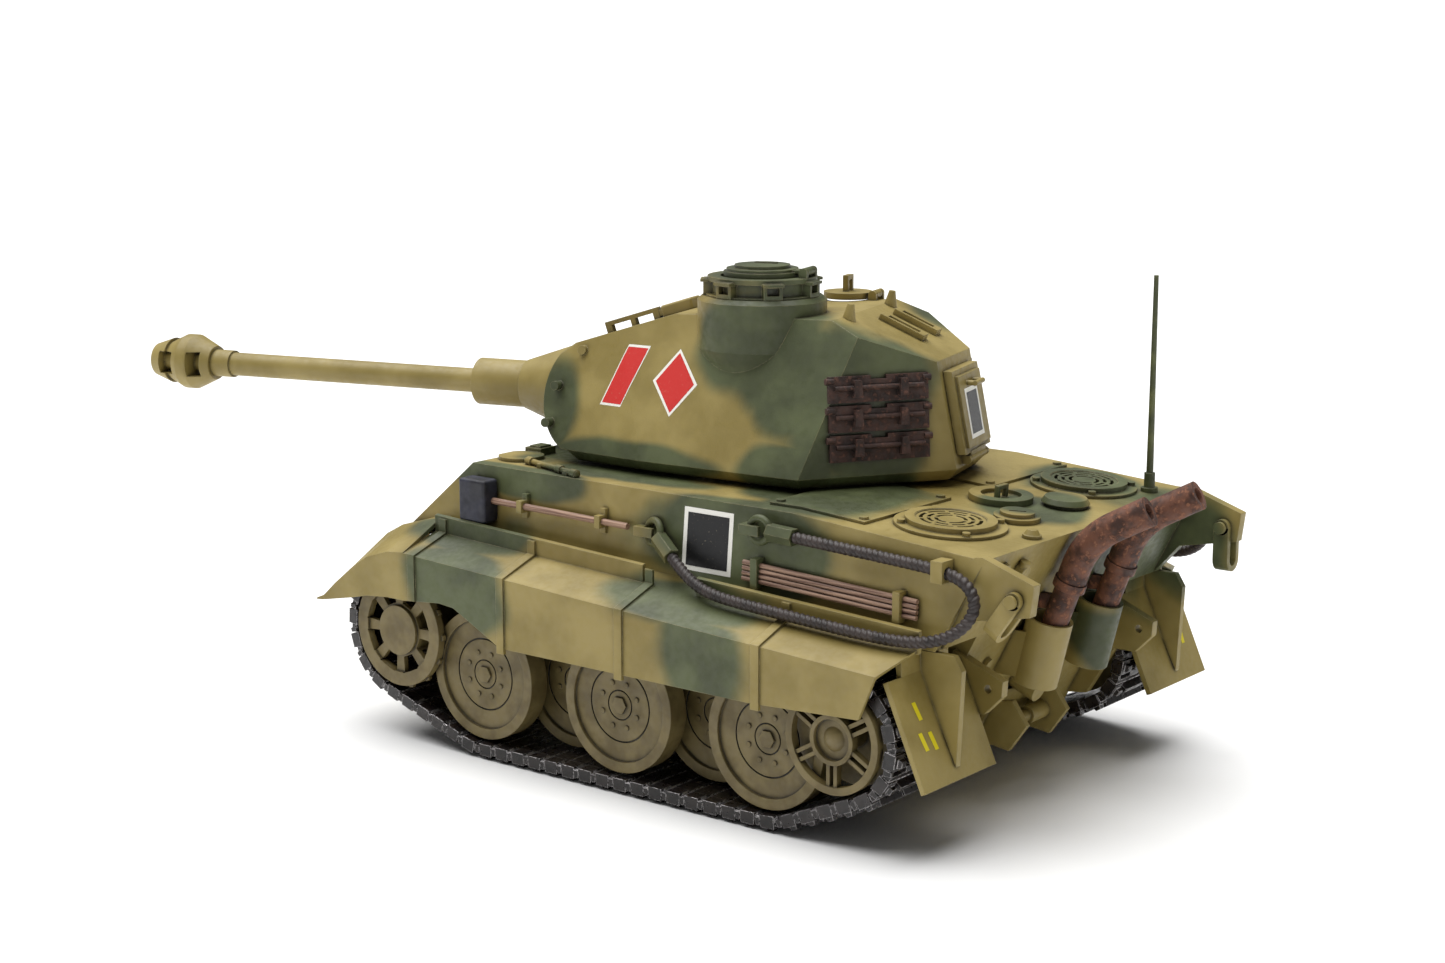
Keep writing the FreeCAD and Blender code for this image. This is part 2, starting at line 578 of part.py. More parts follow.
def grille(x, y):
    """Round fan grille: bolted flange, raised collar and pierced disc."""
    z = deck_z(x) - 0.25
    flange = tube(11.2, 7.2, (x, y, z + 0.1), (x, y, z + 0.9))
    collar = joined([tube(9.1, 7.2, (x, y, z + 0.1), (x, y, z + 2.0)),
                     tube(7.8, 7.0, (x, y, z + 0.6), (x, y, z + 1.9))])
    disc = rod(7.4, (x, y, z + 0.9), (x, y, z + 1.7))
    slots = []
    for ring, count in ((2.9, 4), (4.4, 8), (5.9, 8)):
        band = tube(ring + 0.36, ring - 0.36, (x, y, z), (x, y, z + 3))
        bars = [turned(box(x, x + 9, y - 0.35, y + 0.35, z - 1, z + 4), 360 / count * i + ring * 7,
                       (x, y, 0), (0, 0, 1)) for i in range(count)]
        slots.append(less(band, bars))
    bolts = []
    for i in range(4):
        a = math.radians(90 * i + 50)
        bx, by = x + 10.1 * math.cos(a), y + 10.1 * math.sin(a)
        bolts.append(rod(0.8, (bx, by, z + 0.5), (bx, by, z + 1.7)))
    return joined([flange, collar, less(disc, slots)] + bolts)


def sloped_on_deck(shape, x):
    """Tilt a fitting with the rear deck's slope about the point x on it."""
    slope = math.degrees(math.atan((DECK_Z - DECK_REAR[1]) / (DECK_BREAK - DECK_REAR[0])))
    return turned(shape, -slope, (x, 0, deck_z(x)), (0, 1, 0))


def deck_parts():
    slab = deck_slab()
    add("deck_plates", *both(slab))
    left = sloped_on_deck(grille(-61.5, 25.5), -61.5)
    add("fan_grilles", *both(left))

    x, y = -56.5, -0.8
    z = deck_z(x)
    ring = less(joined([rod(6.6, (x, y, z - 0.2), (x, y, z + 1.4))]),
                [rod(4.2, (x, y, z + 0.5), (x, y, z + 3))])
    handle = less(box(x - 0.5, x + 0.5, y - 1.9, y + 1.9, z, z + 3.2),
                  [box(x - 1, x + 1, y - 1.1, y + 1.1, z + 0.5, z + 2.4)])
    filler = sloped_on_deck(joined([ring, handle]), x)
    x, y = -67.4, 10.6
    z = deck_z(x)
    cap = less(joined([rod(4.7, (x, y, z - 0.2), (x, y, z + 1.0)), rod(3.5, (x, y, z), (x, y, z + 1.8))]),
               [turned(box(x - 1.7, x + 1.7, y - 0.35, y + 0.35, z + 1.3, z + 3), 35, (x, y, 0), (0, 0, 1))])
    slotted = sloped_on_deck(cap, x)
    x, y = -67.8, -7.4
    z = deck_z(x)
    mushroom = sloped_on_deck(joined([rod(4.3, (x, y, z - 0.2), (x, y, z + 0.8)),
                                      cone(5.0, 4.3, (x, y, z + 0.8), (x, y, z + 1.9))]), x)
    x, y = -76.8, 20.4
    z = deck_z(x)
    knob = sloped_on_deck(joined([rod(1.9, (x, y, z - 0.2), (x, y, z + 0.7)),
                                  cone(1.6, 1.0, (x, y, z + 0.7), (x, y, z + 1.7))]), x)
    add("deck_caps", filler, slotted, mushroom, knob)

    x, y = -73.0, -33.0
    z = deck_z(x)
    base = joined([rod(1.8, (x, y, z - 0.1), (x, y, z + 0.9)), rod(1.15, (x, y, z + 0.9), (x, y, z + 4.0))])
    socket = rod(0.5, (x, y, z + 2.0), (x, y, z + 5))
    whip = joined([rod(0.5, (x, y, z + 2.0), (x, y, z + 4.0)), cone(0.75, 0.5, (x, y, z + 4.0),
                                                                   (x, y, z + 45.5))])
    add("antenna", less(base, [socket]), whip)


def bow_fittings():
    """Front hatches, periscope hoods, headlamp, bow gun ball and pry bar."""
    parts = []
    for side in (1, -1):
        lid = rod(5.0, (46.0, side * 32.0, DECK_Z), (46.0, side * 32.0, DECK_Z + 0.8))
        lid = lid.common(box(41.5, 50.5, -60, 60, 60, 70))
        hood = joined([box(44.5, 49.0, side * 25.0 - 2.5, side * 25.0 + 2.5, DECK_Z, DECK_Z + 1.6),
                       box(45.2, 48.2, side * 25.0 - 1.8, side * 25.0 + 1.8, DECK_Z + 1.6, DECK_Z + 2.0)])
        parts += [lid, hood]
    slope = math.atan2(DECK_Z - GLACIS_END[1], GLACIS_END[0] - GLACIS_TOP)
    normal = (math.sin(slope), 0, math.cos(slope))

    def on_glacis(x, y, out):
        z = DECK_Z - (x - GLACIS_TOP) * math.tan(slope)
        return (x + normal[0] * out, y, z + normal[2] * out)
    lamp_foot = rod(0.8, on_glacis(58, 0, -0.3), on_glacis(58, 0, 3.0))
    lamp = rod(2.4, (58.8, 0, 58.8), (62.4, 0, 58.8))
    lamp = less(lamp, [rod(1.9, (61.6, 0, 58.8), (64, 0, 58.8))])
    ball = joined([rod(4.6, on_glacis(60, -24, -0.2), on_glacis(60, -24, 0.7)),
                   Part.makeSphere(3.0, V(*on_glacis(60, -24, 0.3))).common(
                       rod(3.2, on_glacis(60, -24, 0.3), on_glacis(60, -24, 4))),
                   rod(0.6, on_glacis(60, -24, 1.0), (70.0, -24, 57.2))])
    start, end = (41.0, 35.7, DECK_Z + 0.75), (21.5, 41.2, DECK_Z + 0.75)
    bar = [rod(0.65, start, end)]
    for t, r in ((0.04, 1.0), (0.62, 0.95), (0.9, 0.9)):
        at = [s + (e - s) * t for s, e in zip(start, end)]
        to = [s + (e - s) * (t + 0.09) for s, e in zip(start, end)]
        bar.append(rod(r, at, to))
    pegs = []
    for t in (0.3, 0.8):
        at = [s + (e - s) * t for s, e in zip(start, end)]
        pegs.append(box(at[0] - 0.6, at[0] + 0.6, at[1] - 0.9, at[1] + 0.9, DECK_Z, DECK_Z + 1.0))
    add("bow_fittings", *parts, joined([lamp_foot, lamp]), ball, joined(bar + pegs))


# ---- rear ---------------------------------------------------------------
def exhaust(side):
    """Rusty stack: straight riser, bend and slanted tail, with its collar."""
    a = V(-73.2, side * 10.0, 31.0)
    b = V(-83.0, side * 10.0, 57.0)
    c = V(-94.9, side * 10.0 - 2.8, 63.6)
    u = (a - b).normalize()
    w = (c - b).normalize()
    turn = math.acos(u.dot(w))
    reach = 6.0
    r = reach * math.tan(turn / 2)
    start, stop = b + u * reach, b + w * reach
    bisector = (u + w).normalize()
    centre = b + bisector * (r / math.sin(turn / 2))
    mid = centre - bisector * r

    def sweep(radius, first):
        edges = [Part.LineSegment(first, start).toShape(), Part.Arc(start, mid, stop).toShape(),
                 Part.LineSegment(stop, c).toShape()]
        circle = Part.Wire(Part.makeCircle(radius, first, start - first))
        return Part.Wire(edges).makePipeShell([circle], True, False)
    lower = rod(2.6, tuple(a), tuple(start))
    upper = sweep(3.0, b + u * 9.0)
    at = b + (a - b) * 0.36
    collar = rod(3.3, tuple(at - u * -0.9), tuple(at + u * -0.9))
    mouth = rod(1.7, tuple(c - w * 6.0), tuple(c + w))
    foot = prism_y([(rear_x(42.0), 42.0), (-76.5, 42.0), (-77.5, 45.0), (rear_x(45.0), 45.0)],
                   side * 10.0 - 0.8, side * 10.0 + 0.8)
    return less(joined([lower, upper, collar, foot]), [mouth])


def exhaust_guard(side):
    y = side * 10.0
    low, high = (-71.9, y, 26.6), (-75.2, y, 40.0)
    sleeve = rod(4.7, low, high)
    inside = rod(4.0, tuple(V(*low) + (V(*high) - V(*low)) * 0.12),
                 tuple(V(*high) + (V(*high) - V(*low)) * 0.1))
    ribs = []
    for y0 in (y - 4.2, y + 3.0):
        ribs.append(prism_y([(rear_x(28.0), 28.0), (-72.4, 28.0), (-74.6, 37.5), (rear_x(37.5), 37.5)],
                            y0, y0 + 1.2))
    back = prism_y([(rear_x(z), z) for z in (10.0, 60.0)] + [(-40, 60.0), (-40, 10.0)], -60, 60)
    return less(joined([sleeve] + ribs), [inside, back])


def rear_flap():
    """Left mud flap: slanted sheet on a neck, stiffened by a web."""
    y0, y1 = TRACK_IN, TRACK_OUT
    sheet = prism_y([(-67.4, 35.4), (-76.3, 15.4), (-75.3, 15.0), (-66.4, 35.0)], y0, y1)
    neck = prism_y([(-67.4, 35.4), (-66.4, 35.0), (-65.6, 39.3), (-67.2, 39.3)], 34.5, 50.5)
    web = prism_y([(-67.0, 35.0), (-66.8, 39.3), (-74.8, 39.3), (-76.6, 36.5), (-75.7, 17.8)], 42.6, 44.0)
    return joined([sheet, neck, web])


def shackle():
    """U strap hung on the side plate's tip: two ears and a crossbar."""
    x, z = SHACKLE_PIN
    inner, outer = 39.9, 42.7
    bar, drop, half = 1.2, 8.4, 1.7
    ears = []
    for y in (inner - bar, outer):
        ears.append(joined([box(x - half, x + half, y, y + bar, z - drop, z),
                            rod(half, (x, y, z), (x, y + bar, z))]))
    crossbar = box(x - half, x + half, inner - bar, outer + bar, z - drop - bar, z - drop)
    bore = rod(PIN_R + SHAFT_CLEARANCE, (x, 30, z), (x, 50, z))
    return less(joined(ears + [crossbar]), [bore])


def rear_parts():
    add("exhaust_pipes", exhaust(1), exhaust(-1))
    add("exhaust_guards", exhaust_guard(1), exhaust_guard(-1))
    flap = rear_flap()
    add("rear_flaps", *both(flap))
    hanging = shackle()
    x, z = SHACKLE_PIN
    add("left_shackle", turned(hanging, -SHACKLE_SWING, (x, 0, z), (0, 1, 0)))
    add("right_shackle", mirrored(hanging))

    ears = prism_y([(-57.5, 11.5), (-58.5, 19.5), (-66.0, 21.0), (-69.5, 16.2), (-65.4, 10.4)], 7.2, 8.6)
    bar = rod(1.2, (-63.6, -8.0, 15.4), (-63.6, 8.0, 15.4))
    sleeve = rod(1.9, (-63.6, -7.4, 15.4), (-63.6, -1.0, 15.4))
    pad = prism_y([(rear_x(z), z) for z in (11.0, 22.0)] + [(rear_x(22.0) - 1.2, 22.0),
                                                           (rear_x(11.0) - 1.2, 11.0)], -9.5, 9.5)
    back = prism_y([(rear_x(z), z) for z in (5.0, 60.0)] + [(-30, 60.0), (-30, 5.0)], -60, 60)
    starter = rod(2.4, (-60.0, 2.0, 25.4), (-68.4, 2.0, 22.0))
    add("rear_fittings", less(joined(both(ears) + [bar, sleeve, pad, starter]), [back]))

    fittings = []
    pin = joined([rod(PIN_R, (x, 37.8, z), (x, 44.8, z)), rod(1.3, (x, 44.2, z), (x, 44.9, z)),
                  rod(1.3, (x, 37.7, z), (x, 38.4, z))])
    fittings += both(pin)
    normal = V(-1, 0, -REAR_LEAN).normalize()
    up = V(-REAR_LEAN, 0, 1).normalize()

    def on_rear(y, z, out=0.0):
        return V(rear_x(z), y, z) + normal * out
    for y, z in ((20.0, 32.0), (20.0, 40.5), (-20.0, 32.0), (-1.0, 39.0), (-1.0, 30.0), (33.5, 55.2)):
        fittings.append(rod(1.0, tuple(on_rear(y, z)), tuple(on_rear(y, z, 1.1))))
    lamp = joined([rod(1.5, tuple(on_rear(27.0, 53.6)), tuple(on_rear(27.0, 53.6, 2.0))),
                   rod(1.1, tuple(on_rear(27.0, 53.6, 1.0) - up * 2.2), tuple(on_rear(27.0, 53.6, 1.0) + up * 2.2))])
    fittings.append(lamp)
    a, b = on_rear(-30.0, 49.0), on_rear(-17.0, 49.0)
    corners = [a, b, b + up * 6.0, a + up * 6.0]
    plate = prism([tuple(p) for p in corners], tuple(normal * 0.6))
    fittings.append(plate)
    add("rear_fittings", *fittings)


# ---- tools and tow cables on the sides ----------------------------------
CABLE_ROUTE = [(-8.4, 46.4, 49.4), (-14.5, 48.9, 46.2), (-21.5, 50.4, 44.3), (-32.0, 50.7, 43.6),
               (-44.0, 50.5, 42.9), (-56.0, 50.6, 42.3), (-66.0, 50.0, 41.9), (-73.4, 48.6, 42.6),
               (-78.6, 46.9, 45.6), (-80.6, 45.6, 50.0), (-78.0, 44.8, 53.9), (-72.0, 44.4, 55.4),
               (-62.0, 44.3, 55.9), (-49.0, 44.25, 56.5), (-37.6, 44.2, 57.0)]


def rope_path(points):
    """Straight runs joined by tangent arcs, each as large as its runs allow."""
    corners = [V(*p) for p in points]
    edges = []
    radii = []
    last = corners[0]
    for before, here, after in zip(corners, corners[1:], corners[2:]):
        u = (before - here).normalize()
        w = (after - here).normalize()
        turn = math.pi - math.acos(max(-1.0, min(1.0, u.dot(w))))
        cutback = 0.45 * min((before - here).Length, (after - here).Length)
        radius = cutback / math.tan(turn / 2)
        radii.append(radius)
        start, stop = here + u * cutback, here + w * cutback
        bisector = (u + w).normalize()
        mid = here + bisector * (radius / math.cos(turn / 2) - radius)
        edges.append(Part.LineSegment(last, start).toShape())
        edges.append(Part.Arc(start, mid, stop).toShape())
        last = stop
    edges.append(Part.LineSegment(last, corners[-1]).toShape())
    return Part.Wire(edges), radii


def tow_cables():
    path, radii = rope_path(CABLE_ROUTE)
    direction = V(*CABLE_ROUTE[1]) - V(*CABLE_ROUTE[0])
    circle = Part.Wire(Part.makeCircle(ROPE_R, V(*CABLE_ROUTE[0]), direction))
    cable = path.makePipeShell([circle], True, False)
    print("tow cable radii", [round(r, 1) for r in radii])
    print("tow cable length", round(path.Length, 1), "volume ratio",
          round(cable.Volume / (math.pi * ROPE_R ** 2 * path.Length), 4))
    add("left_tow_cable", cable)
    add("right_tow_cable", mirrored(cable))


def cable_end(tip, towards):
    """Swaged hexagonal socket with an open eye, from tip away from the rope."""
    start = V(*tip)
    along = (V(*tip) - V(*towards)).normalize()
    across = along.cross(V(0, 1, 0)).normalize()
    out = across.cross(along).normalize()
    length = 6.2
    ring = []
    for i in range(6):
        a = math.radians(60 * i + 30)
        ring.append(tuple(start + across * (1.9 * math.cos(a)) + out * (1.9 * math.sin(a))))
    socket = prism(ring, tuple(along * length))
    centre = start + along * (length + 2.4)
    eye = Part.makeTorus(2.4, 0.75, centre, out)
    return joined([socket, eye]), centre, out


def side_tools():
    ends = []
    clips = []
    for index, towards in ((0, 1), (-1, -2)):
        tip = CABLE_ROUTE[index]
        end, centre, out = cable_end(tip, CABLE_ROUTE[towards])
        ends += both(end)
        y = side_y(centre.z)
        forward = 1.0 if index == 0 else 1.0
        x = centre.x + forward * 1.1
        staple = joined([box(x + 0.9, x + 2.9, y - 0.4, centre.y + 1.6, centre.z - 1.0, centre.z + 1.0),
                         box(x - 1.9, x + 2.9, centre.y + 0.95, centre.y + 1.75,
                             centre.z - 1.0, centre.z + 1.0)])
        clips += both(less(staple, [end]))
    add("cable_ends", *ends)
    x, y, z = CABLE_ROUTE[11]
    clamp = joined([box(x - 1.3, x + 1.3, side_y(z) - 0.4, y + ROPE_R + 0.8, z - 2.1, z + 2.1)])
    cable = NODES["left_tow_cable"][0]
    clips += both(less(clamp, [cable]))

    rods = []
    slope = -0.045
    for k in range(4):
        z = 50.4 - 1.05 * k
        y = side_y(z) + 1.1
        rods.append(rod(0.5, (-25.0, y, z), (-66.5, y, z + 41.5 * slope)))
    add("cleaning_rods", *rods)
    for x in (-28.5, -62.6):
        z = 50.4 - 1.6 + (x + 25.0) * -slope
        block = box(x - 0.8, x + 0.8, side_y(z) - 0.3, side_y(z) + 2.4, z - 3.0, z + 3.0)
        clips.append(less(block, rods))

    y = side_y(54.0) + 1.6
    handle = rod(0.7, (43.0, y, 54.2), (5.0, y, 53.6))
    x0, x1 = 43.0, 50.6
    head = Part.makeBox(x1 - x0, 4.6, 9.4, V(x0, side_y(54) - 0.1, 49.4))
    head = head.makeFillet(0.7, head.Edges)
    add("sledge_head", head)
    add("sledge_handle", handle)
    for x in (34.5, 12.5):
        z = 53.6 + (x - 5.0) * 0.6 / 38.0
        block = box(x - 0.7, x + 0.7, side_y(z) - 0.3, y + 1.2, z - 2.6, z + 2.6)
        slim = box(x - 0.7, x + 0.7, side_y(z) + 0.9, y + 2, z - 4, z - 1.3)
        slim_top = box(x - 0.7, x + 0.7, side_y(z) + 0.9, y + 2, z + 1.3, z + 4)
        clips.append(less(block, [handle, slim, slim_top]))
    add("side_clips", *clips)


# ---- turret -------------------------------------------------------------
def plane_cutter(a, b, c):
    """Big block on the outer side of the plane through three points.

    Seen from outside, the points run anticlockwise.
    """
    a, b, c = V(*a), V(*b), V(*c)
    normal = (b - a).cross(c - a).normalize()
    size = 300.0
    block = Part.makeBox(size, size, size, V(-size / 2, -size / 2, 0))
    block.Placement = FreeCAD.Placement(a, FreeCAD.Rotation(V(0, 0, 1), normal))
    return block


TURRET_SIDE = [(40.5, 21.3), (20.0, 27.2), (-18.2, 34.0), (-44.1, 10.0)]


def turret_solid(inset):
    """Convex turret body: side outline with a round nose, cut by side planes."""
    i = inset
    corners = [V(-44.1 + i, 0, CREASE_Z), V(-39.7 + i, 0, 86.9 - i * 0.8), V(-20.0, 0, 95.5 - i),
               V(18.0, 0, 94.3 - i), V(44.2 - i * 0.4, 0, 86.0 - i)]
    nose_mid = V(49.3 - i, 0, 75.0)
    foot = V(42.0 - i, 0, CREASE_Z)
    edges = [Part.LineSegment(p, q).toShape() for p, q in zip(corners, corners[1:])]
    edges.append(Part.Arc(corners[-1], nose_mid, foot).toShape())
    edges.append(Part.LineSegment(foot, corners[0]).toShape())
    body = Part.Face(Part.Wire(edges)).extrude(V(0, 100, 0))
    body.translate(V(0, -50, 0))
    tops = [(44.0, 13.2, 86.0), (18.0, 15.5, 94.3), (-20.0, 20.0, 95.5), (-39.7, 11.1, 86.9)]
    cutters = []
    for k in range(3):
        (xa, ya), (xb, yb) = TURRET_SIDE[k], TURRET_SIDE[k + 1]
        top = tops[k + 1]
        a = (xa, ya - i, CREASE_Z)
        b = (xb, yb - i, CREASE_Z)
        t = (top[0], top[1] - i, top[2])
        cutter = plane_cutter(a, b, t)
        cutters += both(cutter)
    return less(body, cutters)


def turret_undercut(inset, depth):
    rows = []
    for z, pull in ((CREASE_Z, 0.0), (CREASE_Z - depth, 1.0)):
        half = [(x * (1 - 0.05 * pull), y * (1 - 0.09 * pull) - inset, z) for x, y in TURRET_SIDE]
        rows.append(half + [(x, -y, z) for x, y, z in reversed(half)])
    return ruled(rows)


def turret_shell():
    outer = joined([turret_solid(0), turret_undercut(0, CREASE_Z - TURRET_FLOOR)])
    inner = turret_solid(WALL)
    cx, cy = CUPOLA
    drum = joined([rod(13.7, (cx, cy, 88.0), (cx, cy, 98.0)),
                   cone(9.5, 13.7, (cx, cy, 78.5), (cx, cy, 88.0))])
    shoulder = cone(13.7, 12.7, (cx, cy, 98.0), (cx, cy, 98.9))
    outer = joined([outer, drum, shoulder])
    well = rod(9.0, (cx, cy, 80.0), (cx, cy, 100))
    lx, ly = LOADER
    loader = rod(4.6, (lx, ly, 85), (lx, ly, 100))
    socket = Part.makeSphere(GUN_BALL_R + RUN_GAP, V(TRUNNION_X, 0, GUN_Z)).common(
        box(TRUNNION_X - 8.0, 70, -13.5, 13.5, CREASE_Z - 0.9, 100))
    swing = rod(ELEVATION_CLEAR_R, (TRUNNION_X, -11.6, GUN_Z), (TRUNNION_X, 11.6, GUN_Z)).common(
        box(TRUNNION_X + 2, 70, -12, 12, CREASE_Z - 0.9, 100))
    pins = rod(AXLE_R + SHAFT_CLEARANCE, (TRUNNION_X, -16.6, GUN_Z), (TRUNNION_X, 16.6, GUN_Z))
    hole = rod(14.0, (0, 0, 60), (0, 0, 70))
    door = prism_y([(-50, 69.0), (-50, 82.5), (-38, 82.5), (-38, 69.0)], -6.0, 6.0)
    bolts = []
    for x, z in ((40.2, 85.0), (45.4, 77.3), (46.2, 69.6)):
        y = 21.3 - (z - CREASE_Z) * 0.40 + 0.6
        bolts += both(rod(1.0, (x, y - 2.5, z), (x, y + 0.4, z + 0.3)))
    shell = less(outer, [inner, well, loader, hole, socket, swing, pins, door])
    x, z = on_rear_face(DOOR_HINGE_Z, DOOR_HINGE_OUT)
    lugs = [rod(HINGE_PIN_R, (x, -6.3, z), (x, 6.3, z))]
    for y in (-6.3, 5.3):
        lugs.append(rod(0.9, (x, y, z), (x, y + 1.0, z)))
        lugs.append(box(x, x + 2.2, y, y + 1.0, z - 0.9, z + 0.9))
    return joined([shell, hinge_seat(lx - 6.6, ly, 96.6, 1.5, 94.5)] + lugs + bolts)


def turret_base():
    collar = tube(15.9, 13.2, (0, 0, 57.6), (0, 0, TURRET_FLOOR))
    flange = tube(24.0, 13.2, (0, 0, 61.6), (0, 0, TURRET_FLOOR))
    tabs = []
    for i in range(3):
        tab = box(14.5, 18.4, -3, 3, 57.6, 58.8)
        tabs.append(turned(tab, 120 * i, (0, 0, 0), (0, 0, 1)))
    ring = turned(gear(RING_TEETH, 3.4), -90, (0, 0, 0), (1, 0, 0)).translated(V(0, 0, 57.6))
    ring = less(ring, [rod(13.2, (0, 0, 50), (0, 0, 60))])
    ring = turned(ring, -TURRET_YAW, (0, 0, 0), (0, 0, 1))
    return joined([collar, flange, ring] + tabs)


def hinge_seat(x, y, z, half, foot):
    """Fixed half of a hinge: a pin held in two lugs that stand on foot."""
    parts = [rod(HINGE_PIN_R, (x, y - half - 1.3, z), (x, y + half + 1.3, z))]
    for start in (y - half - 1.3, y + half + RUN_GAP):
        parts.append(rod(0.9, (x, start, z), (x, start + 1.0, z)))
        parts.append(box(x - 0.9, x + 0.9, start, start + 1.0, foot, z))
    return joined(parts)


def knuckle(x, y, z, half):
    return rod(0.9, (x, y - half, z), (x, y + half, z))


def hinge_bore(x, y, z):
    return rod(HINGE_PIN_R + SHAFT_CLEARANCE, (x, y - 20, z), (x, y + 20, z))


def cupola():
    """Vision cupola: raised ring with seven periscope hoods."""
    cx, cy = CUPOLA
    body = joined([tube(10.6, 8.9, (cx, cy, 98.0), (cx, cy, 102.3)),
                   tube(11.6, 8.9, (cx, cy, 102.0), (cx, cy, 103.0)),
                   tube(12.0, 8.9, (cx, cy, 98.85), (cx, cy, 99.3))])
    hoods = []
    for i in range(7):
        block = box(cx + 9.6, cx + 12.4, cy - 2.0, cy + 2.0, 99.0, 102.4)
        slit = box(cx + 10.9, cx + 13, cy - 1.3, cy + 1.3, 99.9, 101.5)
        visor = box(cx + 9.6, cx + 13.0, cy - 2.2, cy + 2.2, 101.7, 102.3)
        hood = joined([less(block, [slit]), visor])
        hoods.append(turned(hood, 360 / 7 * i + 20, (cx, cy, 0), (0, 0, 1)))
    return joined([body, hinge_seat(cx - 10.3, cy, 104.2, 1.8, 102.9)] + hoods)


def cupola_hatch():
    cx, cy = CUPOLA
    lid = joined([rod(8.2, (cx, cy, 102.7), (cx, cy, 104.0)), rod(7.6, (cx, cy, 104.0), (cx, cy, 104.6)),
                  rod(5.9, (cx, cy, 104.6), (cx, cy, 105.3))])
    arm = box(cx - 10.3, cx - 6.0, cy - 1.8, cy + 1.8, 103.8, 104.5)
    latch = box(cx - 2.5, cx + 2.5, cy - 2.6, cy - 1.6, 105.3, 105.6)
    return less(joined([lid, arm, latch, knuckle(cx - 10.3, cy, 104.2, 1.8)]),
                [hinge_bore(cx - 10.3, cy, 104.2)])


def loader_hatch():
    x, y = LOADER
    z = 95.5
    lid = rod(5.4, (x, y, z), (x, y, z + 1.4))
    handle = less(box(x - 0.6, x + 0.6, y - 1.8, y + 1.8, z + 1.3, z + 5.0),
                  [box(x - 1, x + 1, y - 0.9, y + 0.9, z + 1.4, z + 4.0)])
    arm = box(x - 6.6, x - 4.0, y - 1.5, y + 1.5, z + 0.6, z + 1.4)
    return less(joined([lid, handle, arm, knuckle(x - 6.6, y, z + 1.1, 1.5)]),
                [hinge_bore(x - 6.6, y, z + 1.1)])


def on_rear_face(z, out):
    """Point in x and z, the given distance outside the turret's rear face."""
    slope = (86.9 - CREASE_Z) / (44.1 - 39.7)
    return (-44.1 + (z - CREASE_Z) / slope - out, z)


def rear_door():
    """Escape door over the turret's rear face, hinged at its foot."""
    at = on_rear_face
    panel = prism_y([at(67.4, 0.1), at(67.4, 2.0), at(84.6, 2.0), at(84.6, 0.1)], -8.6, 8.6)
    raised = prism_y([at(68.6, 1.9), at(68.6, 2.7), at(83.4, 2.7), at(83.4, 1.9)], -7.3, 7.3)
    (xa, za), (xb, zb) = at(81.6, 2.5), at(81.6, 4.6)
    handle = joined([rod(0.55, (xa, -2.2, za), (xb, -2.2, zb)), rod(0.55, (xa, 2.2, za), (xb, 2.2, zb)),
                     rod(0.55, (xb, -2.7, zb), (xb, 2.7, zb))])
    x, z = at(DOOR_HINGE_Z, DOOR_HINGE_OUT)
    arm = box(x - 0.5, x + 0.5, -5.0, 5.0, z, 67.8)
    return less(joined([panel, raised, handle, arm, knuckle(x, 0, z, 5.0)]), [hinge_bore(x, 0, z)])


def roof_fittings():
    parts = []
    for side in (1, -1):
        parts.append(cone(1.5, 0.7, (-21.0, side * 12.8, 94.6), (-21.5, side * 12.8, 98.2)))
    slope = math.degrees(math.atan2(95.5 - 86.9, 19.7))
    for y in (0.5, -8.5):
        loop = less(box(-34.5, -24.0, y - 1.6, y + 1.6, 0, 1.5),
                    [box(-33.0, -25.5, y - 0.8, y + 0.8, -1, 3)])
        loop.translate(V(0, 0, 95.5 - 0.2))
        loop = turned(loop, -slope, (-20.0, 0, 95.5), (0, 1, 0))
        parts.append(loop)
    front_slope = math.degrees(math.atan2(94.3 - 86.0, 26.0))
    grip = less(box(28.0, 41.5, -1.0, 0.6, 0, 2.6), [box(29.5, 34.0, -2, 2, -1, 1.6),
                                                     box(35.2, 40.0, -2, 2, -1, 1.6)])
    vent = box(18.8, 26.5, -3.2, 2.6, -0.3, 2.6)
    vent = vent.makeFillet(0.6, vent.Edges)
    stalk = box(26.0, 28.6, -0.9, 0.5, 0.5, 1.8)
    bow = joined([grip, vent, stalk])
    bow.translate(V(0, 0, 94.3))
    parts.append(turned(bow, front_slope, (18.0, 0, 94.3), (0, 1, 0)))
    return parts


def spare_link(width, height):
    """One hung track link: plate, two horns, pin bar and end knuckles."""
    plate = box(0, width, 0, 1.0, 0, height - 0.5)
    bar = rod(0.55, (1.2, 1.3, height * 0.5), (width - 1.2, 1.3, height * 0.5))
    horns = []
    for x in (width * 0.27, width * 0.73):
        horns.append(prism([(x - 1.0, 0.9, height * 0.18), (x + 1.0, 0.9, height * 0.18),
                            (x + 0.7, 0.9, height * 0.78), (x - 0.7, 0.9, height * 0.78)], (0, 1.7, 0)))
    ends = [rod(0.7, (-0.6, 0.7, height * 0.75), (1.2, 0.7, height * 0.75)),
            rod(0.7, (width - 1.2, 0.7, height * 0.75), (width + 0.6, 0.7, height * 0.75))]
    notch = box(width * 0.42, width * 0.58, -1, 3, height - 1.3, height + 1)
    return less(joined([plate, bar] + horns + ends), [notch])


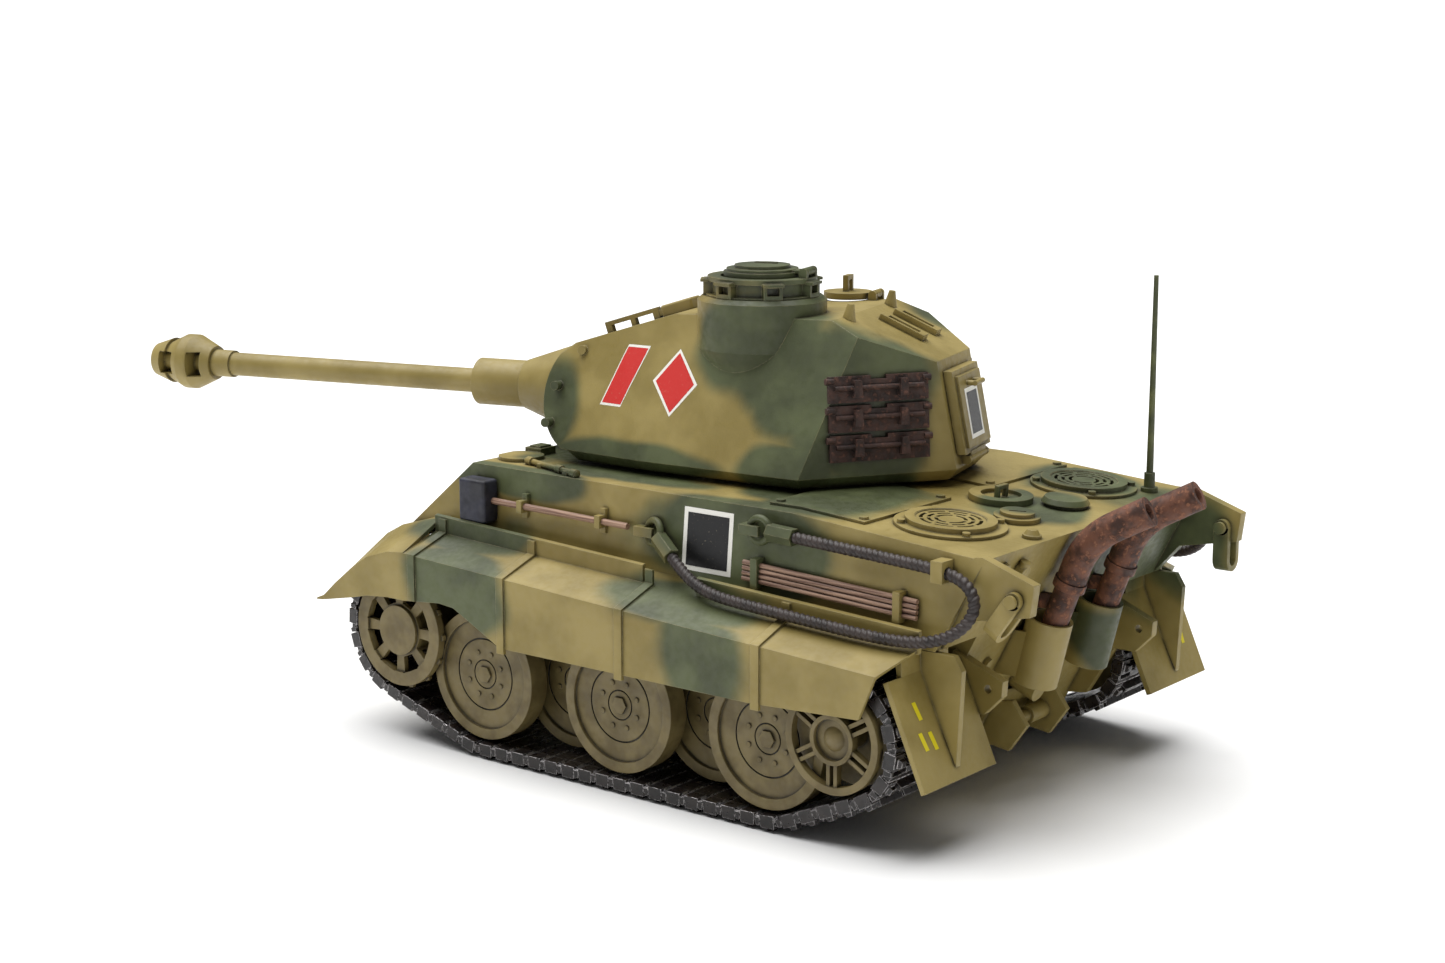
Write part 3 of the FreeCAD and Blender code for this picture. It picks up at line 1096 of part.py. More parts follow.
def spare_links():
    """Three links on each rear quarter, laid on the sloping side plate."""
    a, b = V(-18.2, 34.0, CREASE_Z), V(-44.1, 10.0, CREASE_Z)
    top = V(-39.7, 11.1, 86.9)
    along = (a - b).normalize()
    normal = (a - b).cross(top - b).normalize()
    if normal.y < 0:
        normal = normal * -1
    up = normal.cross(along).normalize()
    if up.z < 0:
        up = up * -1
    links = []
    width, height = 22.0, 5.9
    origin = b + along * 6.4 + up * 3.2
    for row in range(3):
        link = spare_link(width, height)
        spot = origin + up * (row * (height + 0.1)) + normal * 0.0
        matrix = FreeCAD.Matrix(along.x, normal.x, up.x, spot.x, along.y, normal.y, up.y, spot.y,
                                along.z, normal.z, up.z, spot.z, 0, 0, 0, 1)
        placed = link.transformGeometry(matrix)
        links += both(placed)
    return links


def mantlet():
    """Bell-shaped gun shield with its ball, trunnions and recoil sleeve."""
    x = TRUNNION_X
    low = CREASE_Z - 0.2
    bell = joined([cone(11.0, 5.6, (x + 6.4, 0, GUN_Z), (x + 22.0, 0, GUN_Z)),
                   rod(5.3, (x + 20, 0, GUN_Z), (x + 34.2, 0, GUN_Z))])
    ball = Part.makeSphere(GUN_BALL_R, V(x, 0, GUN_Z)).common(box(x - 1.0, x + 6.5, -13, 13, low, 100))
    pins = rod(AXLE_R, (x, -16.3, GUN_Z), (x, 16.3, GUN_Z))
    bore = rod(BARREL_R, (x + 9, 0, GUN_Z), (x + 40, 0, GUN_Z))
    return less(joined([bell.common(box(x, x + 40, -20, 20, low, 100)), ball, pins]), [bore])


def barrel():
    start = TRUNNION_X + 9.0
    return joined([rod(BARREL_R, (start, 0, GUN_Z), (140.0, 0, GUN_Z)),
                   rod(3.2, (139.6, 0, GUN_Z), (144.6, 0, GUN_Z))])


def muzzle_brake():
    """Two-chamber brake: swept cones with side ports."""
    z = GUN_Z
    front = MUZZLE_X
    shape = joined([cone(4.0, 6.5, (144.6, 0, z), (150.0, 0, z)), rod(6.5, (150.0, 0, z), (152.4, 0, z)),
                    cone(6.5, 4.6, (152.4, 0, z), (156.5, 0, z)), cone(5.4, 3.9, (156.5, 0, z), (front, 0, z))])
    bore = rod(1.8, (147.0, 0, z), (front + 1, 0, z))
    ports = []
    for x0, x1, half in ((146.6, 149.6, 2.9), (154.0, 158.2, 2.6)):
        ports.append(box(x0, x1, -10, 10, z - half, z + half))
    core = tube(2.5, 1.8, (144.6, 0, z), (front - 1.5, 0, z))
    return joined([less(shape, [bore] + ports), core])


def turret():
    add("turret_shell", on_turret(turret_shell()))
    add("turret_base", turned(turret_base(), TURRET_YAW, (0, 0, 0), (0, 0, 1)))
    add("cupola", on_turret(cupola()))
    add("cupola_hatch", on_turret(cupola_hatch()))
    add("loader_hatch", on_turret(loader_hatch()))
    add("rear_door", on_turret(rear_door()))
    add("roof_fittings", *[on_turret(s) for s in roof_fittings()])
    add("spare_links", *[on_turret(s) for s in spare_links()])
    add("mantlet", on_turret(mantlet()))
    add("barrel", on_turret(barrel()))
    add("muzzle_brake", on_turret(muzzle_brake()))


# node, then the nodes it is let into
SEATED = {"antenna": ["upper_hull"], "bow_fittings": ["upper_hull"], "deck_caps": ["upper_hull"],
          "fan_grilles": ["upper_hull"], "left_fender": ["upper_hull"], "right_fender": ["upper_hull"],
          "exhaust_pipes": ["upper_hull", "lower_hull"], "rear_fittings": ["upper_hull", "lower_hull"],
          "rear_flaps": ["left_fender", "right_fender", "upper_hull"], "sledge_head": ["upper_hull"],
          "side_clips": ["upper_hull"], "cable_ends": ["upper_hull"], "cupola": ["turret_shell"],
          "roof_fittings": ["turret_shell"]}


def seat_fittings():
    """Cut every fitting to the surface it stands on."""
    for name, bases in SEATED.items():
        base = [solid for b in bases for solid in NODES[b]]
        NODES[name] = [piece for solid in NODES[name] for piece in less(solid, base).Solids]


def main():
    os.makedirs("parts", exist_ok=True)
    running_gear()
    drive_unit()
    turret_drive()
    electrics()
    lower_hull()
    upper_hull()
    fenders()
    deck_parts()
    bow_fittings()
    rear_parts()
    tow_cables()
    side_tools()
    turret()
    seat_fittings()
    for name, solids in NODES.items():
        shape = solids[0] if len(solids) == 1 else Part.makeCompound(solids)
        shape = shape.translated(V(-MID_X, 0, 0))
        shape.exportStep(f"parts/{name}.step")
        print(name, len(solids), "valid" if shape.isValid() else "INVALID", round(shape.Volume, 1))


main()
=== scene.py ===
import json
import math
import bmesh
import bpy
from mathutils import Matrix, Vector
from mathutils.bvhtree import BVHTree


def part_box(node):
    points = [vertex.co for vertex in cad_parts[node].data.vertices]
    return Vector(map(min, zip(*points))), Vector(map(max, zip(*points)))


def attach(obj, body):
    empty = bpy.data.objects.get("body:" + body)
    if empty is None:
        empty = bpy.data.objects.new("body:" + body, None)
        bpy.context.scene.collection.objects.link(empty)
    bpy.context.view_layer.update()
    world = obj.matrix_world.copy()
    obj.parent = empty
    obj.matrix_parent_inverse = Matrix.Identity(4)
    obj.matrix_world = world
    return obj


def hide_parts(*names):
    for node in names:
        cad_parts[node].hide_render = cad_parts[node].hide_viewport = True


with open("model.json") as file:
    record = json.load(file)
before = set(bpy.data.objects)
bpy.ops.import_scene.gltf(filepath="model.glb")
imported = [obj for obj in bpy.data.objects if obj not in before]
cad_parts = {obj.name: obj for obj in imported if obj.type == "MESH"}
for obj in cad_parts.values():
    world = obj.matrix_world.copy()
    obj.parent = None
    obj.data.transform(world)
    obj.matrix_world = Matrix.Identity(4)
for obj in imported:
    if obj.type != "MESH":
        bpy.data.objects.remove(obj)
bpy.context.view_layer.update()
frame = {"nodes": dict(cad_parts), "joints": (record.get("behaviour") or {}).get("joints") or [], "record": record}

MM = 0.001
JOINTS = {joint["name"]: joint for joint in frame["joints"]}
SLOT_OF = {part["node"]: part["material_slot"] for part in frame["record"]["subparts"]}
TURRET_AXIS = Vector(JOINTS["turret_traverse"]["pos_m"]) * Vector((1, 1, 0))
GUN_AXLE = JOINTS["gun_elevation"]["axis"]
TURRET_YAW = math.atan2(GUN_AXLE[0], -GUN_AXLE[1])


def on_hull(x, y, z):
    """Point in metres, from millimetres forward of, left of and above the foot of the turret's axis."""
    return TURRET_AXIS + Vector((x, y, z)) * MM


def on_turret(x, y, z):
    """The same in the turned turret's own directions."""
    return TURRET_AXIS + Matrix.Rotation(TURRET_YAW, 3, "Z") @ Vector((x, y, z)) * MM


# ---- finishes -----------------------------------------------------------
def linear(code, alpha=1.0):
    """sRGB hex to linear colour."""
    channels = [int(code[i:i + 2], 16) / 255 for i in (1, 3, 5)]
    curve = [c / 12.92 if c <= 0.04045 else ((c + 0.055) / 1.055) ** 2.4 for c in channels]
    return (*curve, alpha)


def add(tree, kind, links=None, **settings):
    """Add a shader node with its settings, and set or link its inputs."""
    made = tree.nodes.new(kind)
    for key, value in settings.items():
        setattr(made, key, value)
    for socket, source in (links or {}).items():
        target = made.inputs[socket]
        if isinstance(source, bpy.types.NodeSocket):
            tree.links.new(source, target)
        else:
            target.default_value = source
    return made


def finish(name, **shader):
    """New material with a principled shader whose constant inputs are set on it."""
    mat = bpy.data.materials.new(name)
    mat.use_nodes = True
    surface = mat.node_tree.nodes["Principled BSDF"]
    for socket, value in shader.items():
        surface.inputs[socket.replace("_", " ")].default_value = value
    return mat, mat.node_tree, surface


def place_in_mm(tree):
    where = add(tree, "ShaderNodeTexCoord")
    return add(tree, "ShaderNodeVectorMath", {0: where.outputs["Object"], "Scale": 1 / MM},
               operation="SCALE").outputs[0]


def grain(tree, place, size_mm, detail=3.0, rough=0.55):
    """Noise whose features are about size_mm across."""
    return add(tree, "ShaderNodeTexNoise", {"Vector": place, "Scale": 1 / size_mm, "Detail": detail,
                                            "Roughness": rough}).outputs[0]


def ramp(tree, value, low, high, to_low=0.0, to_high=1.0):
    return add(tree, "ShaderNodeMapRange", {"Value": value, "From Min": low, "From Max": high,
                                            "To Min": to_low, "To Max": to_high},
               interpolation_type="SMOOTHSTEP").outputs[0]


def blend(tree, amount, first, second):
    """Mix two colours; each is a socket or a colour."""
    return add(tree, "ShaderNodeMix", {"Factor": amount, 6: first, 7: second}, data_type="RGBA").outputs[2]


def times(tree, first, second):
    return add(tree, "ShaderNodeMath", {0: first, 1: second}, operation="MULTIPLY").outputs[0]


def worn_edges(tree, radius_mm):
    """Rounded normal, and a mask of the edges it rounds."""
    rounded = add(tree, "ShaderNodeBevel", {"Radius": radius_mm * MM}, samples=4).outputs[0]
    true = add(tree, "ShaderNodeNewGeometry").outputs["Normal"]
    level = add(tree, "ShaderNodeVectorMath", {0: rounded, 1: true}, operation="DOT_PRODUCT")
    return rounded, ramp(tree, level.outputs["Value"], 0.985, 0.86)


def wash_and_shade_mask(tree, reach_mm):
    """Occlusion mask of the corners and grooves where painted shade and washed-in dark paint are laid."""
    open_sky = add(tree, "ShaderNodeAmbientOcclusion", {"Distance": reach_mm * MM}, samples=6)
    return ramp(tree, open_sky.outputs["AO"], 0.92, 0.35)


def bump(tree, surface, height, strength, depth_mm, normal=None):
    links = {"Height": height, "Strength": strength, "Distance": depth_mm * MM}
    if normal is not None:
        links["Normal"] = normal
    tree.links.new(add(tree, "ShaderNodeBump", links).outputs[0], surface.inputs["Normal"])


def painted(tree, surface, place, colour, wash_and_shade_colour, pale, radius_mm=0.25, wear=0.55, groove_mm=0.0):
    """Brush-worn satin paint over colour: painted shade and washed-in dark paint in corners, pale rubbed edges, fine
    orange peel.
    A groove width adds more painted shade and washed-in dark paint in grooves that narrow."""
    rounded, edges = worn_edges(tree, radius_mm)
    mottled = grain(tree, place, 2.2)
    rubbed = times(tree, edges, ramp(tree, mottled, 0.35, 0.65, 0.3 * wear, wear))
    # Painted shade and washed-in dark paint: the dark colour is laid where occlusion finds corners, broken up by
    # noise.
    wash_and_shade = times(tree, wash_and_shade_mask(tree, 1.4), ramp(tree, grain(tree, place, 5.0), 0.3, 0.7, 0.45, 0.95))
    wash_and_shade_coat = blend(tree, wash_and_shade, colour, linear(wash_and_shade_colour))
    if groove_mm:
        # Painted shade: a tighter occlusion darkens narrow grooves further.
        wash_and_shade_coat = blend(tree, wash_and_shade_mask(tree, groove_mm), wash_and_shade_coat, linear(wash_and_shade_colour))
    shown = blend(tree, rubbed, wash_and_shade_coat, linear(pale))
    tree.links.new(shown, surface.inputs["Base Color"])
    tree.links.new(ramp(tree, grain(tree, place, 1.3), 0.3, 0.7, 0.44, 0.62), surface.inputs["Roughness"])
    bump(tree, surface, grain(tree, place, 0.7, 4.0), 0.16, 0.05, rounded)


# Green patches sprayed over the sand coat: centre, then reach, in millimetres.
HULL_PATCHES = [
    ((42, 57, 37), (15, 7, 11)), ((46, 49, 49), (19, 6, 6)), ((40, 43, 60), (22, 5, 5)),
    ((-22, 43, 54), (27, 8, 11)), ((-17, 53, 43), (21, 9, 6)), ((-25, 59, 34), (13, 6, 14)),
    ((-36, 24, 62), (16, 20, 4)), ((-66, 1, 60), (12, 12, 5)), ((-60, -27, 60), (14, 13, 4)),
    ((-76, -26, 46), (17, 21, 15)), ((-74, -10, 33), (7, 6, 9)), ((40, 16, 62), (22, 16, 6)),
    ((58, -22, 56), (12, 14, 8)), ((72, 8, 32), (14, 13, 9)), ((22, -43, 52), (20, 8, 9)),
    ((-44, -48, 44), (20, 12, 10)), ((46, -57, 40), (14, 8, 10)), ((-8, -58, 33), (13, 6, 9)),
    ((-60, -57, 33), (8, 6, 8)), ((12, -12, 61), (14, 12, 4)),
]
TURRET_PATCHES = [
    ((-4, 20, 90), (16, 16, 14)), ((-1, 10, 103), (15, 15, 9)), ((-33, 26, 80), (25, 16, 19)),
    ((-15, 33, 65), (14, 9, 6)), ((-17, 27, 84), (14, 12, 13)), ((47, 18, 73), (9, 9, 15)), ((24, 26, 64), (28, 8, 5)),
    ((30, -7, 91), (10, 8, 5)), ((18, -27, 76), (17, 9, 12)), ((-26, -27, 87), (15, 12, 9)),
    ((-10, -34, 68), (12, 8, 6)),
]


def sprayed_patches(tree, place):
    """0 on the sand coat, 1 on green, with the soft wandering edge of a spray gun."""
    nearest = None
    patches = [(on_hull(*c), r) for c, r in HULL_PATCHES]
    patches += [(on_turret(*c), r) for c, r in TURRET_PATCHES]
    for centre, reach in patches:
        away = add(tree, "ShaderNodeVectorMath", {0: place, 1: centre / MM}, operation="SUBTRACT")
        away = add(tree, "ShaderNodeVectorMath", {0: away.outputs[0], 1: [1 / r for r in reach]},
                   operation="MULTIPLY")
        distance = add(tree, "ShaderNodeVectorMath", {0: away.outputs[0]}, operation="LENGTH").outputs["Value"]
        if nearest is not None:
            distance = add(tree, "ShaderNodeMath", {0: nearest, 1: distance}, operation="MINIMUM").outputs[0]
        nearest = distance
    wander = ramp(tree, grain(tree, place, 16.0, 1.0), 0.25, 0.75, -0.16, 0.16)
    edge = add(tree, "ShaderNodeMath", {0: nearest, 1: wander}, operation="ADD").outputs[0]
    return ramp(tree, edge, 1.16, 0.80)


def camouflage_paint():
    """Sand lacquer sprayed over with soft olive patches on moulded plastic: satin, dusty, dark in the seams from
    painted shade and washed-in dark paint.
    """
    mat, tree, surface = finish("sprayed_camouflage_lacquer", IOR=1.5)
    place = place_in_mm(tree)
    cloudy = grain(tree, place, 14.0)
    sand = blend(tree, ramp(tree, cloudy, 0.35, 0.65), linear("#82723A"), linear("#96854C"))
    green = blend(tree, ramp(tree, cloudy, 0.35, 0.65), linear("#3C4226"), linear("#535A38"))
    coat = blend(tree, sprayed_patches(tree, place), sand, green)
    # 1F1B11 is the dark colour laid in hollows as painted shade and washed-in paint.
    painted(tree, surface, place, coat, "#1F1B11", "#B0A478")
    return mat


def flat_paint(name, dark, light, wash_and_shade_colour, pale, wear=0.5, groove_mm=0.0):
    """One coat of matt model paint, brushed slightly unevenly."""
    mat, tree, surface = finish(name, IOR=1.5)
    place = place_in_mm(tree)
    coat = blend(tree, ramp(tree, grain(tree, place, 6.0), 0.35, 0.65), linear(dark), linear(light))
    painted(tree, surface, place, coat, wash_and_shade_colour, pale, wear=wear, groove_mm=groove_mm)
    return mat


def dry_brushed_track():
    """Black-brown moulded plastic with gunmetal dragged over its high edges."""
    mat, tree, surface = finish("dry_brushed_track_plastic", IOR=1.5)
    place = place_in_mm(tree)
    rounded, edges = worn_edges(tree, 0.3)
    streaks = ramp(tree, grain(tree, place, 0.9, 4.0), 0.36, 0.52)
    metal = times(tree, edges, streaks)
    coat = blend(tree, ramp(tree, grain(tree, place, 3.0), 0.35, 0.65), linear("#120E0D"), linear("#221B19"))
    tree.links.new(blend(tree, metal, coat, linear("#C4C0C0")), surface.inputs["Base Color"])
    tree.links.new(times(tree, metal, 0.7), surface.inputs["Metallic"])
    tree.links.new(ramp(tree, grain(tree, place, 1.2), 0.3, 0.7, 0.24, 0.5), surface.inputs["Roughness"])
    bump(tree, surface, grain(tree, place, 0.5, 4.0), 0.3, 0.06, rounded)
    return mat


def rusted_paint(name, dark, mid, bright, depth_mm=0.12):
    """Stippled rust paint: layered browns with a gritty dry surface."""
    mat, tree, surface = finish(name, IOR=1.45)
    place = place_in_mm(tree)
    rounded, edges = worn_edges(tree, 0.2)
    flakes = grain(tree, place, 1.1, 6.0, 0.65)
    clouds = grain(tree, place, 3.6, 3.0)
    coat = blend(tree, ramp(tree, clouds, 0.38, 0.62), linear(dark), linear(mid))
    coat = blend(tree, ramp(tree, flakes, 0.52, 0.66, 0.0, 0.8), coat, linear(bright))
    # Painted shade: the hollows are darkened towards near-black by the occlusion mask.
    coat = blend(tree, times(tree, wash_and_shade_mask(tree, 1.2), 0.8), coat, linear("#120C0A"))
    coat = blend(tree, times(tree, edges, 0.35), coat, linear(bright))
    tree.links.new(coat, surface.inputs["Base Color"])
    tree.links.new(ramp(tree, flakes, 0.35, 0.65, 0.5, 0.85), surface.inputs["Roughness"])
    bump(tree, surface, flakes, 0.5, depth_mm, rounded)
    return mat


def tow_rope():
    """Waxed dark-brown twisted cord, dull with a slight greasy shine on its strands."""
    mat, tree, surface = finish("waxed_twisted_cord", IOR=1.48)
    place = place_in_mm(tree)
    fibres = grain(tree, place, 0.3, 5.0, 0.7)
    coat = blend(tree, ramp(tree, grain(tree, place, 4.0), 0.35, 0.65), linear("#241D1B"), linear("#3C3330"))
    # Painted shade: the grooves between strands are darkened by the occlusion mask.
    coat = blend(tree, times(tree, wash_and_shade_mask(tree, 0.6), 0.9), coat, linear("#0B0807"))
    tree.links.new(coat, surface.inputs["Base Color"])
    tree.links.new(ramp(tree, fibres, 0.35, 0.65, 0.4, 0.6), surface.inputs["Roughness"])
    bump(tree, surface, fibres, 0.35, 0.05)
    return mat


def brushed_wood_paint():
    """Pinkish-brown paint with darker strokes along the handle, imitating ash wood."""
    mat, tree, surface = finish("wood_imitation_paint", IOR=1.5)
    place = place_in_mm(tree)
    along = add(tree, "ShaderNodeMapping", {"Vector": place, "Scale": (0.06, 2.2, 2.2)}).outputs[0]
    strokes = add(tree, "ShaderNodeTexNoise", {"Vector": along, "Scale": 1.0, "Detail": 4.0}).outputs[0]
    coat = blend(tree, ramp(tree, strokes, 0.35, 0.65), linear("#6E5143"), linear("#A88872"))
    # Painted shade: the corners are darkened by the occlusion mask.
    coat = blend(tree, times(tree, wash_and_shade_mask(tree, 0.8), 0.8), coat, linear("#33221B"))
    tree.links.new(coat, surface.inputs["Base Color"])
    tree.links.new(ramp(tree, strokes, 0.35, 0.65, 0.42, 0.6), surface.inputs["Roughness"])
    bump(tree, surface, strokes, 0.2, 0.05)
    return mat


def drawn_steel():
    """Bright drawn steel with fine turning marks."""
    mat, tree, surface = finish("drawn_steel", Metallic=1.0)
    place = place_in_mm(tree)
    lines = add(tree, "ShaderNodeMapping", {"Vector": place, "Scale": (0.4, 6.0, 6.0)}).outputs[0]
    marks = add(tree, "ShaderNodeTexNoise", {"Vector": lines, "Scale": 1.0, "Detail": 3.0}).outputs[0]
    tree.links.new(blend(tree, marks, linear("#8F9092"), linear("#C9C9C8")), surface.inputs["Base Color"])
    tree.links.new(ramp(tree, marks, 0.3, 0.7, 0.22, 0.42), surface.inputs["Roughness"])
    bump(tree, surface, marks, 0.15, 0.02)
    return mat


def moulded_plastic(name, dark, light, rough=0.45):
    """Unpainted moulded plastic with a spark-eroded mould texture and flow marks."""
    mat, tree, surface = finish(name, IOR=1.53)
    place = place_in_mm(tree)
    spark = grain(tree, place, 0.25, 3.0)
    flow = grain(tree, place, 7.0, 2.0)
    tree.links.new(blend(tree, ramp(tree, flow, 0.3, 0.7), linear(dark), linear(light)),
                   surface.inputs["Base Color"])
    tree.links.new(ramp(tree, spark, 0.3, 0.7, rough - 0.08, rough + 0.08), surface.inputs["Roughness"])
    bump(tree, surface, spark, 0.2, 0.03)
    return mat


def waterslide_ink(name, code):
    """Printed decal film: even colour, slightly silky, faintly scuffed."""
    mat, tree, surface = finish(name, IOR=1.45)
    place = place_in_mm(tree)
    scuff = grain(tree, place, 0.6, 5.0, 0.7)
    worn = ramp(tree, scuff, 0.6, 0.75, 0.0, 0.35)
    tree.links.new(blend(tree, worn, linear(code), linear("#B5AC90")), surface.inputs["Base Color"])
    tree.links.new(ramp(tree, scuff, 0.3, 0.7, 0.35, 0.5), surface.inputs["Roughness"])
    bump(tree, surface, scuff, 0.1, 0.02)
    return mat


# In the flat_paint calls the third colour is laid in hollows as painted shade and washed-in paint; the wheels' groove
# width deepens it in their grooves.
FINISHES = {
    "camouflage": camouflage_paint(),
    "wheel_paint": flat_paint("matt_khaki_wheel_paint", "#5E512D", "#75673F", "#0C0906", "#8C7F58", 0.4, 0.55),
    "track_plastic": dry_brushed_track(),
    "steel_pin": drawn_steel(),
    "rust_paint": rusted_paint("stippled_exhaust_rust", "#3A231A", "#694332", "#8F6048", 0.2),
    "rope": tow_rope(),
    "tool_steel_paint": flat_paint("blue_black_tool_paint", "#15151E", "#2B2C3A", "#08080C", "#5A5B6B", 0.6),
    "wood_paint": brushed_wood_paint(),
    "link_rust": rusted_paint("dark_link_rust", "#2A1C18", "#463029", "#6E4E42"),
    "aerial_green": flat_paint("olive_aerial_paint", "#3F4426", "#5E6238", "#1C1E10", "#7C7E55"),
    "motor_can": drawn_steel(),
    "white_plastic": moulded_plastic("natural_acetal_gear_plastic", "#D8D4C6", "#EAE7DC"),
    "black_plastic": moulded_plastic("black_abs", "#0E0E0F", "#1A1A1B"),
    "board_green": moulded_plastic("solder_masked_board", "#0B3A20", "#14532F", 0.3),
    "cell_wrap": moulded_plastic("shrink_sleeve_film", "#153A7A", "#2450A0", 0.25),
}
RED_INK = waterslide_ink("red_decal_ink", "#C8322E")
WHITE_INK = waterslide_ink("white_decal_ink", "#ECEAE2")
BLACK_INK = waterslide_ink("black_decal_ink", "#121214")
YELLOW_INK = waterslide_ink("yellow_decal_ink", "#D8C81E")

for name, cad in frame["nodes"].items():
    cad.data.materials.clear()
    cad.data.materials.append(FINISHES[SLOT_OF[name]])


# ---- building helpers ---------------------------------------------------
def piece(name, mesh, body, mat):
    thing = bpy.data.objects.new(name, mesh)
    bpy.context.scene.collection.objects.link(thing)
    if not mesh.materials:
        mesh.materials.append(mat)
    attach(thing, body)
    return thing


def mesh_from(bm, name, smooth=False):
    bmesh.ops.recalc_face_normals(bm, faces=bm.faces)
    for face in bm.faces:
        face.smooth = smooth
    mesh = bpy.data.meshes.new(name)
    bm.to_mesh(mesh)
    bm.free()
    return mesh


def block(bm, u0, u1, v0, v1, w0, w1, taper=0.0):
    """Six-sided block, its outer (w1) face drawn in by taper."""
    ring = [(u0, v0), (u1, v0), (u1, v1), (u0, v1)]
    top = [(u0 + taper, v0 + taper), (u1 - taper, v0 + taper), (u1 - taper, v1 - taper), (u0 + taper, v1 - taper)]
    low = [bm.verts.new((u, v, w0)) for u, v in ring]
    high = [bm.verts.new((u, v, w1)) for u, v in top]
    bm.faces.new(low[::-1])
    bm.faces.new(high)
    for i in range(4):
        k = (i + 1) % 4
        bm.faces.new((low[i], low[k], high[k], high[i]))


# ---- tracks -------------------------------------------------------------
LINK_PITCH = 4.7
RUN_GAP = 0.3


def belt_circles(side):
    """Centre (x, z) and inner belt radius, in millimetres, round each end wheel."""
    circles = []
    for node in ("idler", "wheel_5", "wheel_1", "sprocket"):
        joint = JOINTS[f"{side}_{node}_spin"]["pos_m"]
        low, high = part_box(f"{side}_{node}")
        circles.append((joint[0] / MM, joint[2] / MM, (high.x - low.x) / 2 / MM + RUN_GAP))
    return circles


def belt_path(side):
    """Points and outward directions at equal steps round the inner face of the belt."""
    circles = belt_circles(side)
    runs = []
    for i, (xa, za, ra) in enumerate(circles):
        xb, zb, rb = circles[(i + 1) % len(circles)]
        angle = math.atan2(zb - za, xb - xa) - math.acos((ra - rb) / math.hypot(xb - xa, zb - za))
        runs.append(angle)
    fine = []
    for i, (x, z, r) in enumerate(circles):
        start, stop = runs[i - 1], runs[i]
        if stop < start:
            stop += 2 * math.pi
        steps = max(2, int((stop - start) * 40))
        for k in range(steps + 1):
            a = start + (stop - start) * k / steps
            fine.append((x + r * math.cos(a), z + r * math.sin(a), a))
    fine.append(fine[0])
    lengths = [0.0]
    for (xa, za, _), (xb, zb, _) in zip(fine, fine[1:]):
        lengths.append(lengths[-1] + math.hypot(xb - xa, zb - za))
    count = round(lengths[-1] / LINK_PITCH)
    places = []
    k = 0
    for i in range(count):
        want = lengths[-1] * i / count
        while lengths[k + 1] < want:
            k += 1
        span = lengths[k + 1] - lengths[k]
        t = (want - lengths[k]) / span if span else 0.0
        (xa, za, aa), (xb, zb, ab) = fine[k], fine[k + 1]
        turn = (ab - aa + math.pi) % (2 * math.pi) - math.pi
        places.append((xa + (xb - xa) * t, za + (zb - za) * t, aa + turn * t))
    return places


def link_shape(half_width, thick):
    """One cast link: web, pad blocks at both ends, V grouser and hinge knuckles."""
    bm = bmesh.new()
    u = LINK_PITCH / 2
    block(bm, -u + 0.25, u - 0.25, -half_width + 1.0, half_width - 1.0, 0.7, 2.1)
    for side in (-1, 1):
        outer = side * half_width
        inner = side * (half_width - 3.2)
        block(bm, -u + 0.45, u - 0.75, min(outer, inner), max(outer, inner), 0.5, 3.1, 0.15)
        block(bm, -0.6, 0.7, side * 4.0 - 3.9, side * 4.0 + 3.9, 1.9, thick, 0.2)
    for k in range(-2, 3):
        centre = k * half_width * 0.4
        shift = 0.0 if k % 2 else LINK_PITCH
        block(bm, u - 0.9 - shift, u + 0.9 - shift, centre - half_width * 0.17, centre + half_width * 0.17,
              0.9, 2.6, 0.25)
    for side in (-1, 1):
        centre = side * (half_width - 0.55)
        block(bm, u - 0.75, u + 0.55, centre - 0.55, centre + 0.55, 1.0, 2.7, 0.2)
    for side in (-1, 1):
        block(bm, -0.9, 0.9, side * (half_width - 2.0) - 0.9, side * (half_width - 2.0) + 0.9, 3.0, thick, 0.25)
    return bm


def linked_track(side):
    low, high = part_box(f"{side}_track")
    middle = (low.y + high.y) / 2 / MM
    half_width = (high.y - low.y) / 2 / MM
    lowest_wheel = belt_circles(side)[1]
    thick = lowest_wheel[1] - lowest_wheel[2]
    link = mesh_from(link_shape(half_width, thick), "link")
    whole = bmesh.new()
    for x, z, a in belt_path(side):
        out = Vector((math.cos(a), 0, math.sin(a)))
        along = Vector((-math.sin(a), 0, math.cos(a)))
        across = out.cross(along)
        turn = Matrix((along, across, out)).transposed().to_4x4()
        start = len(whole.verts)
        whole.from_mesh(link)
        whole.verts.ensure_lookup_table()
        moved = Matrix.Scale(MM, 4) @ Matrix.Translation((x, middle, z)) @ turn
        bmesh.ops.transform(whole, matrix=moved, verts=whole.verts[start:])
    for vert in whole.verts:
        vert.co.z = max(vert.co.z, low.z)
    mesh = mesh_from(whole, f"{side}_track_links")
    belt = piece(f"{side}_track_links", mesh, "hull", FINISHES["track_plastic"])
    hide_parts(f"{side}_track")
    return belt


for side in ("left", "right"):
    linked_track(side)


# ---- tow cables ---------------------------------------------------------
# Route of the left cable from eye to eye, in millimetres.
CABLE_ROUTE = [(-8.4, 46.4, 49.4), (-14.5, 48.9, 46.2), (-21.5, 50.4, 44.3), (-32.0, 50.7, 43.6),
               (-44.0, 50.5, 42.9), (-56.0, 50.6, 42.3), (-66.0, 50.0, 41.9), (-73.4, 48.6, 42.6),
               (-78.6, 46.9, 45.6), (-80.6, 45.6, 50.0), (-78.0, 44.8, 53.9), (-72.0, 44.4, 55.4),
               (-62.0, 44.3, 55.9), (-49.0, 44.25, 56.5), (-37.6, 44.2, 57.0)]
ROPE_R = 1.2
STRANDS = 2
LAY = 2.6                # length in which a strand goes once round


